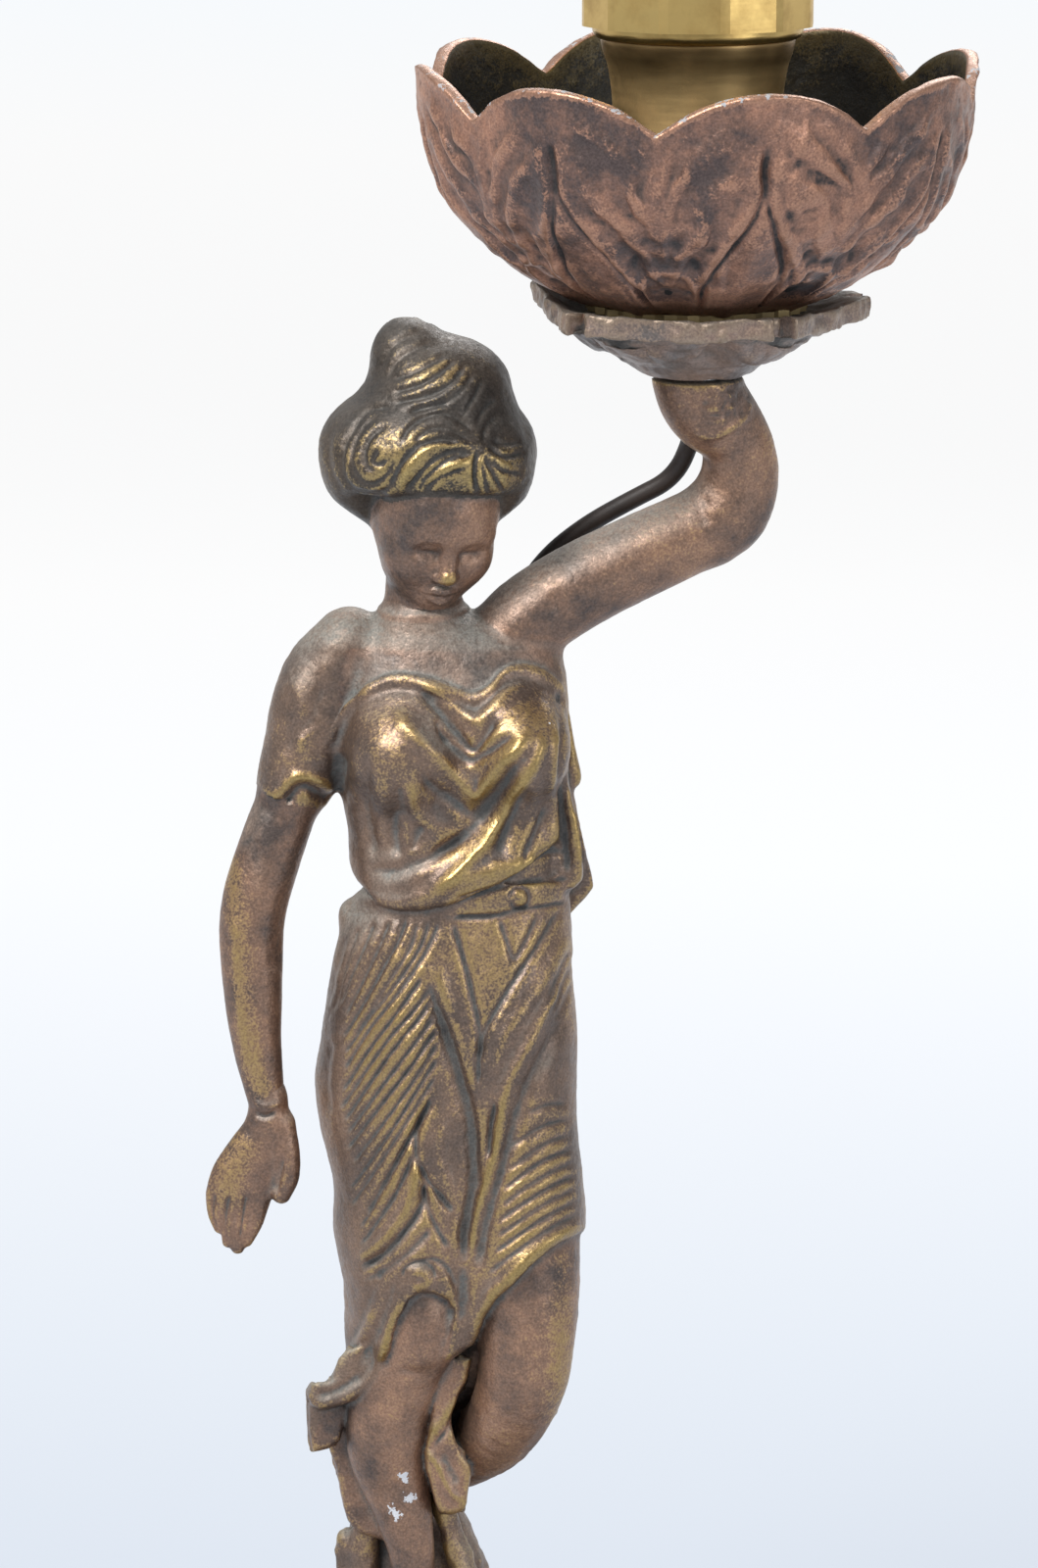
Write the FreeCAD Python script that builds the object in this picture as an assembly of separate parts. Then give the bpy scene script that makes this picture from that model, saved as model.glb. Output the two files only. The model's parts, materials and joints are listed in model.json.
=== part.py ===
"""A figural table lamp in bronze-finished cast metal and brass.

A woman in a classical dress stands on a rock, with one arm hanging and the other raised. The raised
hand carries a five-lobed plate, a bowl of eight petals and a brass lampholder with a turn switch.
Millimetres. The lamp stands on z = 0 and faces -Y, and its round base is centred on x = y = 0.
The figure's own heights are counted from the ground that she stands on, as h.
"""
import FreeCAD
import Part
import math
import os

V = FreeCAD.Vector
UP = V(0, 0, 1)
BACK = V(0, 1, 0)
RIGHT = V(1, 0, 0)

# ---- driving dimensions -------------------------------------------------------------------------

# round base
BASE_R = 66.0
BASE_H = 34.0
BASE_WALL = 4.0
FOOT_BAND_H = 15.0
FELT_T = 1.5
FELT_INSET = 1.5
COVER_T = 1.0
WEIGHT_H = 9.0
WEIGHT_INSET = 28.0
WEIGHT_R = BASE_R - WEIGHT_INSET
COVER_GROOVE = 1.0

# hollow rod that clamps the rock to the base
ROD_X = -13.0
ROD_Y = 8.5
ROD_R = 5.0
ROD_BORE_R = 3.4
ROD_IN_ROCK = 40.0
ROD_BELOW_NUT = 1.5
NUT_T = 5.5
NUT_FLATS = 14.0
WASHER_T = 1.6
WASHER_R = 10.0
THREAD_FIT = 0.05

# rock
ROCK_H = 24.0
ROCK_POCKET_R = 23.0
ROCK_POCKET_H = 12.0
ROCK_BOSS_R = 9.0
WIRE_WAY_R = 2.5

# figure
CAST_WALL = 3.0
SHOULDER_H = 187.5
HEM_BACK = -4.0
GROMMET_R = 3.2
GROMMET_LIP = 1.0
GROMMET_T = 2.4
GROMMET_DEPTH = 8.6

# what the raised hand carries
BOWL_X = 36.2
BOWL_Y = 0.0
HAND_TOP_H = 236.5
HAND_R = 7.3
PLATE_R = 29.8
PLATE_T = 3.0
PLATE_LOBES = 5
PLATE_FIRST_LOBE = -98.0
PLATE_NOTCH = 3.0
PLATE_NOTCH_L = 4.0
COLLAR_H = 8.0
SEAT_RING_R = 18.6
SEAT_RING_T = 1.2
SEAT_RING_TEETH = 30
SEAT_RING_TOOTH = 0.8
BOWL_R = 47.4
BOWL_H = 40.2
BOWL_WALL = 2.0
BOWL_FLOOR_T = 2.5
BOWL_FLOOR_R = 18.5
PETALS = 8
PETAL_PHASE = -32.5
PETAL_DEPTH = 6.5
PETAL_BULGE = 0.028

# lampholder
NIPPLE_R = 4.9
NIPPLE_IN_HAND = 4.5
NIPPLE_BORE_R = 3.3
LOCK_NUT_T = 3.5
CUP_H = 41.3
CUP_WALL = 1.2
CAP_BEAD_R = 17.5
CAP_BEAD_H = 3.6
CAP_BEAD_ROUND = 1.4
CAP_CORNER_TRIM = 0.2
CAP_INNER_R = 16.0
CAP_R = 19.0
CAP_FACETS = 12
CAP_FACET_PHASE = 11.4
CAP_BAND_H = 12.4
CAP_FLOOR_T = 2.0
SHELL_R = 17.4
SHELL_WALL = 0.7
SHELL_H = 40.0
SHELL_LIP = 0.8
SHELL_IN_CAP = 8.0
LINER_WALL = 0.8
LINER_GAP = 0.25
BODY_R = 14.2
BODY_H = 19.0
BODY_FOOT_R = 9.0
BODY_FOOT_H = 4.0
BODY_FOOT_WALL = 3.0
WIRE_IN_BODY = 4.0
TERMINAL_R = 2.6
TERMINAL_T = 1.0
TERMINAL_UP = 6.0
SCREW_BORE_R = 13.2
SCREW_WALL = 0.5
SCREW_L = 22.0
SCREW_RELIEF = 0.25
SCREW_RELIEF_L = 1.0
SCREW_FOOT_W = 3.0
CONTACT_R = 3.4
CONTACT_TOP_R = 2.4
CONTACT_T = 1.2
KNOB_ABOVE_CAP = 5.0
SHAFT_R = 1.5
SHAFT_FIT = 0.05
SHAFT_IN = 7.0
SHAFT_IN_KNOB = 3.0
BUSH_R = 3.2
BUSH_OUT = 1.2
BUSH_SINK = 1.0
KNOB_HUB_L = 4.0
KNOB_HUB_R = 2.5
KNOB_NECK_W = 5.0
KNOB_L = 11.0
KNOB_W = 10.0
KNOB_T = 3.4
KNOB_GAP = 0.3

# lead
LEAD_D = 4.8
LEAD_FIT = 0.05
EXIT_Z = 8.0
EXIT_BUSH_R = 4.6
EXIT_FLANGE_R = 6.4
EXIT_FLANGE_T = 1.5
EXIT_NOSE = 18.5
EXIT_NOSE_WALL = 1.0
SPLICE_R = 4.0
SPLICE_L = 12.0
SPLICE_INSET = 18.0
WIRE_D = 3.2
WIRE_BELOW_HAND = 5.0
WIRE_FIT = 0.05
COIL_X = 35.0
COIL_BEHIND_BASE = 60.0
COIL_R = 34.6
COIL_STEP = 5.4
COIL_LAYERS = 4
COIL_LAYER_TURNS = 2.3125
COIL_CLIMB_TURNS = 0.5
COIL_STEPS_PER_TURN = 4
COIL_SIDES = 6
PLUG_L = 30.0
PLUG_W = 24.0
PLUG_T = 15.0
PLUG_GRIP_W = 12.0
PLUG_ROUND = 2.5
PLUG_SHOULDER = 0.6
PLUG_X = COIL_X + 50.5
PLUG_Z = 8.0
BLADE_L = 17.0
BLADE_W = 6.4
BLADE_T = 1.5
BLADE_GAP = 12.7

# where the big pieces start
GROUND = BASE_H + ROCK_H
HAND_TOP = GROUND + HAND_TOP_H
PLATE_BOTTOM = HAND_TOP + COLLAR_H
PLATE_TOP = PLATE_BOTTOM + PLATE_T
BOWL_BOTTOM = PLATE_TOP + SEAT_RING_T
CUP_BOTTOM = BOWL_BOTTOM + BOWL_FLOOR_T
CAP_BOTTOM = CUP_BOTTOM + CUP_H
CAP_TOP = CAP_BOTTOM + CAP_BEAD_H + CAP_BAND_H
SHELL_BOTTOM = CAP_TOP - SHELL_IN_CAP
SHELL_TOP = SHELL_BOTTOM + SHELL_H
BODY_BOTTOM = CAP_BOTTOM + CAP_FLOOR_T + BODY_FOOT_H
BODY_TOP = BODY_BOTTOM + BODY_H
KNOB_Z = CAP_TOP + KNOB_ABOVE_CAP
LINER_BOTTOM = SHELL_BOTTOM
NIPPLE_BOTTOM = HAND_TOP - NIPPLE_IN_HAND
NIPPLE_TOP = CAP_BOTTOM + CAP_FLOOR_T + BODY_FOOT_H / 2
LEAD_START_Y = BASE_R + EXIT_FLANGE_T + EXIT_NOSE
SPLICE_Y = BASE_R - SPLICE_INSET
COIL_Y = BASE_R + COIL_BEHIND_BASE
COIL_TOP = LEAD_D / 2 + COIL_STEP * (COIL_LAYERS - 1)

# Outer sections of the figure, each a height h, then left, right, front and back.
BODICE = [
    (143.0, -20.0, 15.3, -13.4, 12.5),
    (147.0, -21.6, 17.0, -15.5, 13.4),
    (157.0, -22.6, 15.8, -15.2, 13.0),
    (166.0, -24.0, 14.9, -17.0, 13.0),
    (173.0, -24.6, 14.9, -19.3, 13.5),
    (180.0, -25.2, 14.8, -17.0, 14.0),
    (186.0, -25.2, 14.4, -13.0, 13.5),
    (190.5, -23.2, 11.5, -9.8, 12.2),
    (193.5, -19.2, 2.5, -7.2, 10.0),
    (195.5, -16.8, -2.8, -6.0, 8.2),
]
SKIRT = [
    (146.0, -20.0, 15.0, -12.6, 12.4),
    (142.0, -22.1, 15.1, -13.5, 13.5),
    (131.6, -24.4, 14.7, -15.0, 16.0),
    (123.0, -27.0, 14.6, -16.0, 17.5),
    (114.0, -28.5, 14.8, -16.5, 18.0),
    (105.5, -27.6, 15.6, -17.0, 17.0),
    (96.7, -25.5, 16.8, -18.0, 16.0),
    (88.0, -25.5, 17.2, -18.5, 15.0),
    (79.0, -23.9, 16.5, -18.0, 14.5),
    (70.0, -23.7, 14.5, -15.0, 14.0),
    (62.0, -23.6, 9.5, -8.0, 13.7),
    (54.0, -23.8, 3.0, -3.0, 13.5),
    (46.0, -24.0, -1.0, 0.5, 13.8),
    (35.0, -22.6, -3.4, 2.5, 14.5),
]
# How far forward the hollow inside the skirt may reach at each height and below, behind the knees.
CORE_FRONT = [(105.5, -13.0), (96.7, -9.5), (88.0, -5.0), (79.0, -1.0)]
# The line of the hem, in x and h, below which the skirt is cut away in front.
HEM = [
    (-15.5, 52.0), (-15.5, 66.0), (-11.5, 75.0), (-5.5, 75.0),
    (-3.6, 66.6), (4.0, 74.0), (11.0, 83.0), (20.0, 90.0),
]
HEM_CUT_SIDE = 10.0
HEM_CUT_BOTTOM = 20.0
HEM_CUT_REACH = 24.0

# Limbs, each a list of centre x, centre y, h, half width and half depth.
SUPPORT_LEG = [
    (-9.5, -3.0, 92.0, 9.5, 9.5),
    (-10.3, -7.0, 80.0, 8.0, 8.0),
    (-10.8, -8.8, 70.0, 6.9, 6.9),
    (-13.2, -7.6, 59.0, 7.2, 7.0),
    (-15.6, -6.0, 49.0, 7.3, 6.8),
    (-15.0, -5.4, 40.0, 6.3, 5.8),
    (-13.4, -5.6, 30.0, 4.9, 4.8),
    (-11.8, -6.0, 18.0, 3.9, 4.2),
    (-11.0, -6.4, 9.0, 3.7, 4.4),
    (-11.0, -7.2, 3.0, 4.1, 5.2),
    (-11.0, -7.4, 0.0, 4.0, 5.0),
]
SUPPORT_FOOT = [
    (-11.0, -1.2, 2.6, 2.2, 1.8),
    (-11.0, -4.0, 3.8, 4.0, 3.8),
    (-11.0, -9.0, 4.6, 4.3, 4.5),
    (-11.2, -15.0, 3.4, 4.8, 3.3),
    (-11.6, -21.0, 2.3, 5.2, 2.3),
    (-12.0, -25.0, 1.5, 4.2, 1.5),
    (-12.0, -26.6, 1.1, 2.2, 1.0),
]
BENT_LEG = [
    (5.6, -3.5, 104.0, 11.5, 11.5),
    (7.4, -7.0, 84.0, 9.6, 10.0),
    (7.6, -9.6, 70.0, 8.2, 8.4),
    (6.6, -9.4, 62.0, 7.6, 7.6),
    (2.8, -5.0, 52.5, 6.6, 6.6),
    (-3.0, 2.5, 45.0, 5.4, 5.4),
    (-9.5, 8.0, 40.0, 4.2, 4.2),
]
SWAG = [
    (-21.5, -7.5, 70.0, 3.0, 3.0),
    (-25.0, -6.5, 62.0, 3.4, 3.0),
    (-27.2, -5.0, 56.5, 3.0, 2.8),
    (-26.8, -3.0, 51.0, 3.2, 2.4),
    (-26.2, -1.5, 46.8, 2.6, 1.8),
]
MIDDLE_FOLD = [
    (-4.6, -9.5, 70.0, 2.6, 2.6),
    (-5.4, -9.8, 60.0, 3.0, 2.4),
    (-5.6, -9.2, 48.0, 3.5, 2.4),
    (-5.0, -8.0, 40.0, 3.2, 2.2),
    (-4.4, -7.0, 35.6, 1.6, 1.2),
]
MANTLE = [
    (11.0, 10.0, 184.0, 4.0, 2.2),
    (14.0, 9.0, 170.0, 4.4, 2.4),
    (15.5, 8.5, 158.0, 4.6, 2.4),
    (16.6, 8.0, 147.0, 3.9, 2.2),
    (16.2, 7.6, 141.5, 1.6, 1.2),
]
LOWERED_ARM = [
    (-28.4, 0.7, 176.0, 4.9, 4.9),
    (-31.2, 0.1, 167.0, 5.4, 5.5),
    (-36.0, -1.0, 154.0, 5.6, 5.5),
    (-38.8, -2.0, 143.7, 5.6, 5.3),
    (-38.8, -3.0, 131.6, 5.1, 4.6),
    (-38.0, -4.0, 121.2, 4.0, 3.7),
    (-36.9, -4.5, 111.6, 2.9, 2.9),
]
SLEEVE = [
    (-26.2, 1.2, 187.0, 6.6, 7.0),
    (-27.6, 1.0, 181.0, 7.3, 7.4),
    (-28.9, 0.6, 174.5, 7.2, 7.2),
    (-30.6, 0.2, 168.5, 6.7, 6.9),
]
LOWERED_HAND = [
    (-37.0, -4.4, 113.4, 2.4, 2.4),
    (-36.9, -4.6, 110.4, 3.1, 2.9),
    (-37.3, -4.8, 105.5, 4.4, 3.2),
    (-38.6, -5.0, 99.0, 6.6, 3.5),
    (-40.2, -5.2, 93.2, 7.2, 3.4),
    (-41.6, -5.0, 88.0, 5.1, 2.9),
    (-42.8, -5.0, 83.6, 1.8, 1.4),
]
THUMB = [
    (-35.2, -5.4, 105.0, 2.0, 2.0),
    (-32.8, -6.2, 99.5, 2.3, 2.1),
    (-32.4, -6.8, 95.0, 2.0, 1.8),
    (-33.0, -7.0, 92.0, 0.9, 0.8),
]
# The raised arm's, whose third number is a share of the rise from the shoulder to the top of the hand.
UPPER_ARM = [
    (2.0, 1.0, 0.0, 7.0, 7.0),
    (8.0, 2.0, 0.133, 7.4, 7.4),
    (17.0, 3.0, 0.251, 7.3, 7.2),
    (27.0, 4.2, 0.349, 7.1, 7.0),
    (35.0, 5.2, 0.422, 6.9, 6.8),
    (40.5, 5.8, 0.49, 6.2, 6.2),
    (43.5, 6.0, 0.533, 3.4, 3.4),
]
FOREARM = [
    (39.5, 5.6, 0.418, 4.5, 4.5),
    (42.4, 5.8, 0.51, 6.6, 6.5),
    (43.9, 5.6, 0.622, 6.7, 6.5),
    (43.5, 4.2, 0.737, 6.0, 5.8),
    (41.4, 2.6, 0.853, 5.1, 5.0),
    (39.6, 1.4, 0.92, 4.2, 4.2),
]
RAISED_HAND = [
    (36.9, 0.5, 0.782, 1.8, 1.8),
    (36.7, 0.4, 0.814, 4.3, 4.3),
    (36.5, 0.2, 0.876, 6.3, 6.3),
    (BOWL_X, BOWL_Y, 0.937, HAND_R - 0.1, HAND_R - 0.1),
    (BOWL_X, BOWL_Y, 1.0, HAND_R, HAND_R),
]
FACE = [
    (196.0, -9.0, -2.6, -9.6, -4.4),
    (198.5, -12.2, 0.0, -11.4, 2.0),
    (203.5, -16.0, 2.4, -12.6, 8.0),
    (209.0, -18.0, 3.2, -13.0, 12.0),
    (214.0, -18.6, 3.8, -13.0, 14.0),
    (222.0, -18.0, 3.6, -12.0, 15.0),
]
HAIR = [
    (213.0, -21.5, 5.0, -9.0, 15.0),
    (216.0, -24.4, 7.2, -13.2, 18.4),
    (221.0, -26.2, 8.8, -15.4, 20.0),
    (226.0, -26.6, 9.2, -15.8, 20.8),
    (231.0, -25.2, 8.8, -15.0, 20.2),
    (236.0, -21.4, 6.5, -12.0, 17.6),
    (239.4, -15.5, 1.6, -7.0, 12.6),
    (240.8, -11.5, -3.0, -3.0, 8.0),
]
NECK = [(-9.8, 1.1, 190.0, 7.0, 7.1), (-9.6, 1.6, 200.0, 6.5, 6.5), (-9.0, 3.0, 210.0, 6.5, 6.5)]
BUN = (-13.0, 3.0, 238.2, 8.2, 8.5, 7.0)
NOSE = [(-5.6, -12.2, 211.5, 0.9, 0.9), (-5.0, -13.6, 207.0, 1.2, 1.2), (-4.7, -14.2, 204.4, 1.7, 1.4)]

# Sections of the rock: a height above the base for the disc, and h for the stump behind the legs.
ROCK = [
    (0.0, -40.0, 36.0, -37.0, 36.0),
    (8.0, -39.0, 34.0, -36.0, 35.0),
    (16.0, -35.5, 28.0, -33.0, 31.5),
    (21.5, -31.0, 21.0, -30.0, 28.0),
    (24.0, -27.0, 15.0, -28.5, 24.5),
]
STUMP = [
    (-6.0, -29.0, 9.0, -2.0, 22.5),
    (2.0, -26.8, 5.5, 0.2, 20.8),
    (10.0, -25.8, 3.2, 0.8, 19.2),
    (22.0, -25.0, 2.0, 1.0, 17.6),
    (30.0, -23.6, -1.5, 1.8, 15.6),
    SKIRT[-1],
]

# The base's outline, each an inset from its edge and a height: over the foot band, below the top, and
# over the foot band again for its underside.
BASE_STEPS = [
    (0.0, -1.5), (1.5, 0.0), (5.0, 0.6), (7.5, 3.0), (11.5, 5.5), (16.0, 6.6), (16.0, 8.6), (19.5, 11.0),
]
BASE_TOP_STEPS = [(20.5, 5.0), (18.5, 3.0), (18.5, 1.0), (19.5, 0.0)]
BASE_UNDERSIDE = [(20.0, 4.0), (11.0, 0.0), (0.0, -4.0)]

# Turned profiles, each a radius and a share of the piece's height.
COLLAR = [
    (0.0, 0.0), (8.6, 0.0), (10.7, 0.16), (12.0, 0.30), (12.7, 0.34), (15.0, 0.55), (16.8, 0.62),
    (20.6, 0.92), (22.0, 1.0), (0.0, 1.0),
]
# The bowl's, each a share of its radius and of its height.
BOWL_PROFILE = [
    (0.38, 0.0), (0.496, 0.057), (0.654, 0.169), (0.795, 0.32), (0.899, 0.47), (0.968, 0.704), (1.0, 1.0),
]
CUP_PROFILE = [(13.0, 0.0), (14.1, 0.06), (14.1, 0.78), (14.6, 0.88), (16.1, 1.0)]

# The wire's way from the hand behind the raised arm to the back: x, y and share of the arm's rise.
ARM_WIRE = [
    (36.0, 8.8, 0.745),
    (33.0, 11.2, 0.598),
    (26.0, 12.4, 0.52),
    (18.0, 13.6, 0.424),
    (11.0, 14.8, 0.304),
    (6.4, 13.6, 0.161),
    (0.9, 8.2, -0.051),
]
# The wire's way on through the figure, the rock and the rod to the joint in the base: x, y and z.
BODY_WIRE = [
    (-3.4, 4.0, 234.9),
    (-7.5, 4.2, 212.0),
    (-10.5, 5.6, 176.0),
    (-12.6, 7.9, 136.0),
    (ROD_X, ROD_Y, 104.0),
    (ROD_X, ROD_Y, 6.5),
    (0.0, 24.0, EXIT_Z),
    (0.0, SPLICE_Y - SPLICE_L, EXIT_Z),
]
# The supply lead behind the base, before and after its coil: x, y and z.
MAINS_ROUTE = [
    (0.0, LEAD_START_Y, EXIT_Z),
    (0.0, LEAD_START_Y + 11.0, EXIT_Z),
    (COIL_X - COIL_R, LEAD_START_Y + 24.5, LEAD_D / 2),
    (COIL_X - COIL_R, COIL_Y - LEAD_D, LEAD_D / 2),
]
TAIL_ROUTE = [
    (COIL_X + LEAD_D, COIL_Y + COIL_R, COIL_TOP),
    (COIL_X + 16.0, COIL_Y + COIL_R, COIL_TOP),
    (COIL_X + 29.0, COIL_Y + 31.0, 14.2),
    (COIL_X + 40.0, COIL_Y + 23.0, 7.6),
    (COIL_X + 47.0, COIL_Y + 11.5, 3.0),
    (COIL_X + 49.6, COIL_Y - 2.0, LEAD_D / 2),
    (PLUG_X, COIL_Y - 15.0, 4.6),
    (PLUG_X, COIL_Y - 27.0, PLUG_Z),
    (PLUG_X, COIL_Y - 38.0, PLUG_Z),
]


# ---- shapes -------------------------------------------------------------------------------------

def closed_spline(points):
    curve = Part.BSplineCurve()
    curve.interpolate(Points=points, PeriodicFlag=True)
    return Part.Wire([curve.toShape()])


def flat_ring(z, left, right, front, back, squareness=0.86, count=12):
    """A level closed section, a little squarer than an ellipse."""
    cx, cy = (left + right) / 2, (front + back) / 2
    a, b = (right - left) / 2, (back - front) / 2
    points = []
    for i in range(count):
        t = 2 * math.pi * i / count
        c, s = math.cos(t), math.sin(t)
        x = cx + a * math.copysign(abs(c) ** squareness, c)
        y = cy + b * math.copysign(abs(s) ** squareness, s)
        points.append(V(x, y, z))
    return closed_spline(points)


def body_loft(sections, base=GROUND):
    """A solid through level sections, each a height, left, right, front and back."""
    return Part.makeLoft([flat_ring(base + s[0], *s[1:]) for s in sections], True, False)


def limb(stations, reference=BACK, base=GROUND, count=8):
    """A solid through oval sections square to a path, each x, y, h, half width and half depth."""
    centres = [V(s[0], s[1], base + s[2]) for s in stations]
    rings = []
    for i, station in enumerate(stations):
        before, after = centres[max(i - 1, 0)], centres[min(i + 1, len(centres) - 1)]
        along = (after - before).normalize()
        side = along.cross(reference).normalize()
        other = side.cross(along).normalize()
        points = []
        for k in range(count):
            t = 2 * math.pi * k / count
            points.append(centres[i] + side * (station[3] * math.cos(t)) + other * (station[4] * math.sin(t)))
        rings.append(closed_spline(points))
    return Part.makeLoft(rings, True, False)


def ellipsoid(x, y, h, rx, ry, rz, base=GROUND):
    ball = Part.makeSphere(1.0)
    matrix = FreeCAD.Matrix()
    matrix.scale(rx, ry, rz)
    matrix.move(V(x, y, base + h))
    return ball.transformGeometry(matrix)


def cylinder(x, y, z, radius, height):
    return Part.makeCylinder(radius, height, V(x, y, z), UP)


def tube(x, y, z, outer, inner, height):
    return cylinder(x, y, z, outer, height).cut(cylinder(x, y, z - 1, inner, height + 2))


def turned(points, x=0.0, y=0.0):
    """A solid of revolution about the upright through x, y, from a closed outline of radius and z."""
    outline = Part.makePolygon([V(x + r, y, z) for r, z in points + points[:1]])
    return Part.Face(outline).revolve(V(x, y, 0), UP, 360)


def polygon_prism(x, y, z, corner_r, sides, height, phase=0.0):
    corners = []
    for i in range(sides + 1):
        a = math.radians(phase + 360.0 * i / sides)
        corners.append(V(x + corner_r * math.cos(a), y + corner_r * math.sin(a), z))
    return Part.Face(Part.makePolygon(corners)).extrude(V(0, 0, height))


def rounded_path(points):
    """Straight runs joined by tangent arcs, each as large as its two runs allow, and the arcs' radii."""
    edges, radii = [], []
    start = points[0]
    for before, corner, after in zip(points, points[1:], points[2:]):
        into, out = (corner - before), (after - corner)
        shorter = min(into.Length, out.Length)
        turn = into.getAngle(out)
        cut = 0.45 * shorter
        radius = cut / math.tan(turn / 2)
        a = corner - into.normalize() * cut
        b = corner + out.normalize() * cut
        bisector = (a + b) * 0.5 - corner
        middle = corner + bisector.normalize() * (radius / math.cos(turn / 2) - radius)
        edges.append(Part.LineSegment(start, a).toShape())
        edges.append(Part.Arc(a, middle, b).toShape())
        radii.append(radius)
        start = b
    edges.append(Part.LineSegment(start, points[-1]).toShape())
    return Part.Wire(edges), radii


def swept(wire, radius):
    """A round tube along a wire of lines and arcs."""
    first = wire.OrderedEdges[0]
    start, heading = first.valueAt(first.FirstParameter), first.tangentAt(first.FirstParameter)
    circle = Part.Wire([Part.Circle(start, heading, radius).toShape()])
    return wire.makePipeShell([circle], True, False)


def biarc(p0, t0, p1, t1):
    """Two arcs that join p0 to p1 with the tangents t0 and t1."""
    v, t = p1 - p0, t0 + t1
    bend = 2 * (1 - t0.dot(t1))
    vt = v.dot(t)
    reach = (-vt + math.sqrt(vt * vt + bend * v.dot(v))) / bend
    joint = (p0 + p1 + (t0 - t1) * reach) * 0.5
    return [arc_from(p0, t0, joint), arc_from(p1, t1 * -1, joint)]


def arc_from(start, heading, end):
    """An arc that leaves start along heading and ends at end."""
    chord = end - start
    length = chord.Length
    along = V(chord).normalize()
    half_turn = heading.getAngle(along)
    side = (heading - along * heading.dot(along)).normalize()
    middle = (start + end) * 0.5 + side * (length / 2 * math.tan(half_turn / 2))
    return Part.Arc(start, middle, end).toShape()


# ---- base ---------------------------------------------------------------------------------------

def base_profile():
    """Half outline of the stepped base, outside then inside, as radius and z."""
    under = BASE_H - BASE_WALL
    groove = (BASE_R - BASE_WALL + COVER_GROOVE, FELT_T + COVER_T)
    outer = [(BASE_R, FELT_T)]
    outer += [(BASE_R - inset, FOOT_BAND_H + up) for inset, up in BASE_STEPS]
    outer += [(BASE_R - inset, BASE_H - down) for inset, down in BASE_TOP_STEPS]
    inner = [(0.0, BASE_H), (0.0, under), (BASE_R - BASE_TOP_STEPS[0][0] - BASE_WALL, under)]
    inner += [(BASE_R - inset - BASE_WALL, FOOT_BAND_H + up) for inset, up in BASE_UNDERSIDE]
    inner += [(BASE_R - BASE_WALL, groove[1]), groove, (groove[0], FELT_T)]
    return outer + inner


def lead_hole(radius, length):
    """A cylinder out through the back of the base, where the lead leaves."""
    return Part.makeCylinder(radius, length, V(0, BASE_R - length / 2, EXIT_Z), BACK)


def base_shell():
    shell = turned(base_profile())
    shell = shell.cut(cylinder(ROD_X, ROD_Y, 0, ROD_R + THREAD_FIT, BASE_H + 1))
    return shell.cut(lead_hole(EXIT_BUSH_R, 4 * BASE_WALL))


def base_weight():
    top = BASE_H - BASE_WALL
    weight = cylinder(0, 0, top - WEIGHT_H, WEIGHT_R, WEIGHT_H)
    return weight.cut(cylinder(ROD_X, ROD_Y, 0, ROD_R + THREAD_FIT, BASE_H))


def stack():
    """The z of the underside of the washer, of the nut and of the rod."""
    washer = BASE_H - BASE_WALL - WEIGHT_H - WASHER_T
    nut = washer - NUT_T
    return washer, nut, nut - ROD_BELOW_NUT


def rod_washer():
    return tube(ROD_X, ROD_Y, stack()[0], WASHER_R, ROD_R + THREAD_FIT, WASHER_T)


def rod_nut():
    nut = polygon_prism(ROD_X, ROD_Y, stack()[1], NUT_FLATS / math.sqrt(3), 6, NUT_T)
    return nut.cut(cylinder(ROD_X, ROD_Y, 0, ROD_R + THREAD_FIT, BASE_H))


def tie_rod():
    bottom = stack()[2]
    return tube(ROD_X, ROD_Y, bottom, ROD_R, ROD_BORE_R, BASE_H + ROD_IN_ROCK - bottom)


def bottom_cover():
    return cylinder(0, 0, FELT_T, BASE_R - BASE_WALL + COVER_GROOVE - THREAD_FIT, COVER_T)


def felt_pad():
    return cylinder(0, 0, 0, BASE_R - FELT_INSET, FELT_T)


def exit_bushing():
    """The insulating sleeve in the base's wall that the lead comes out of."""
    inside = BASE_R - BASE_WALL - EXIT_NOSE_WALL
    body_l = BASE_R + EXIT_FLANGE_T - inside
    body = Part.makeCylinder(EXIT_BUSH_R - THREAD_FIT, body_l, V(0, inside, EXIT_Z), BACK)
    flange = Part.makeCylinder(EXIT_FLANGE_R, EXIT_FLANGE_T, V(0, BASE_R, EXIT_Z), BACK)
    flange = flange.cut(cylinder(0, 0, 0, BASE_R + THREAD_FIT, BASE_H))
    nose = Part.makeCone(EXIT_BUSH_R, LEAD_D / 2 + EXIT_NOSE_WALL, EXIT_NOSE, V(0, BASE_R + EXIT_FLANGE_T, EXIT_Z), BACK)
    bore = Part.makeCylinder(LEAD_D / 2 + LEAD_FIT, LEAD_START_Y - inside + 2, V(0, inside - 1, EXIT_Z), BACK)
    return body.fuse([flange, nose]).removeSplitter().cut(bore)


# ---- rock ---------------------------------------------------------------------------------------

def rock():
    disc = body_loft(ROCK, BASE_H)
    stump = body_loft(STUMP)
    solid = disc.fuse(stump).removeSplitter()
    pocket = cylinder(0, 0, BASE_H - 1, ROCK_POCKET_R, ROCK_POCKET_H + 1)
    pocket = pocket.cut(cylinder(ROD_X, ROD_Y, BASE_H - 2, ROCK_BOSS_R, ROCK_POCKET_H + 4))
    rod_hole = cylinder(ROD_X, ROD_Y, BASE_H - 1, ROD_R + THREAD_FIT, ROD_IN_ROCK + 1)
    wire_way = cylinder(ROD_X, ROD_Y, BASE_H, WIRE_WAY_R, GROUND - BASE_H + STUMP[-1][0] + 1)
    return solid.cut(pocket).cut(rod_hole).cut(wire_way)


# ---- figure -------------------------------------------------------------------------------------

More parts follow.
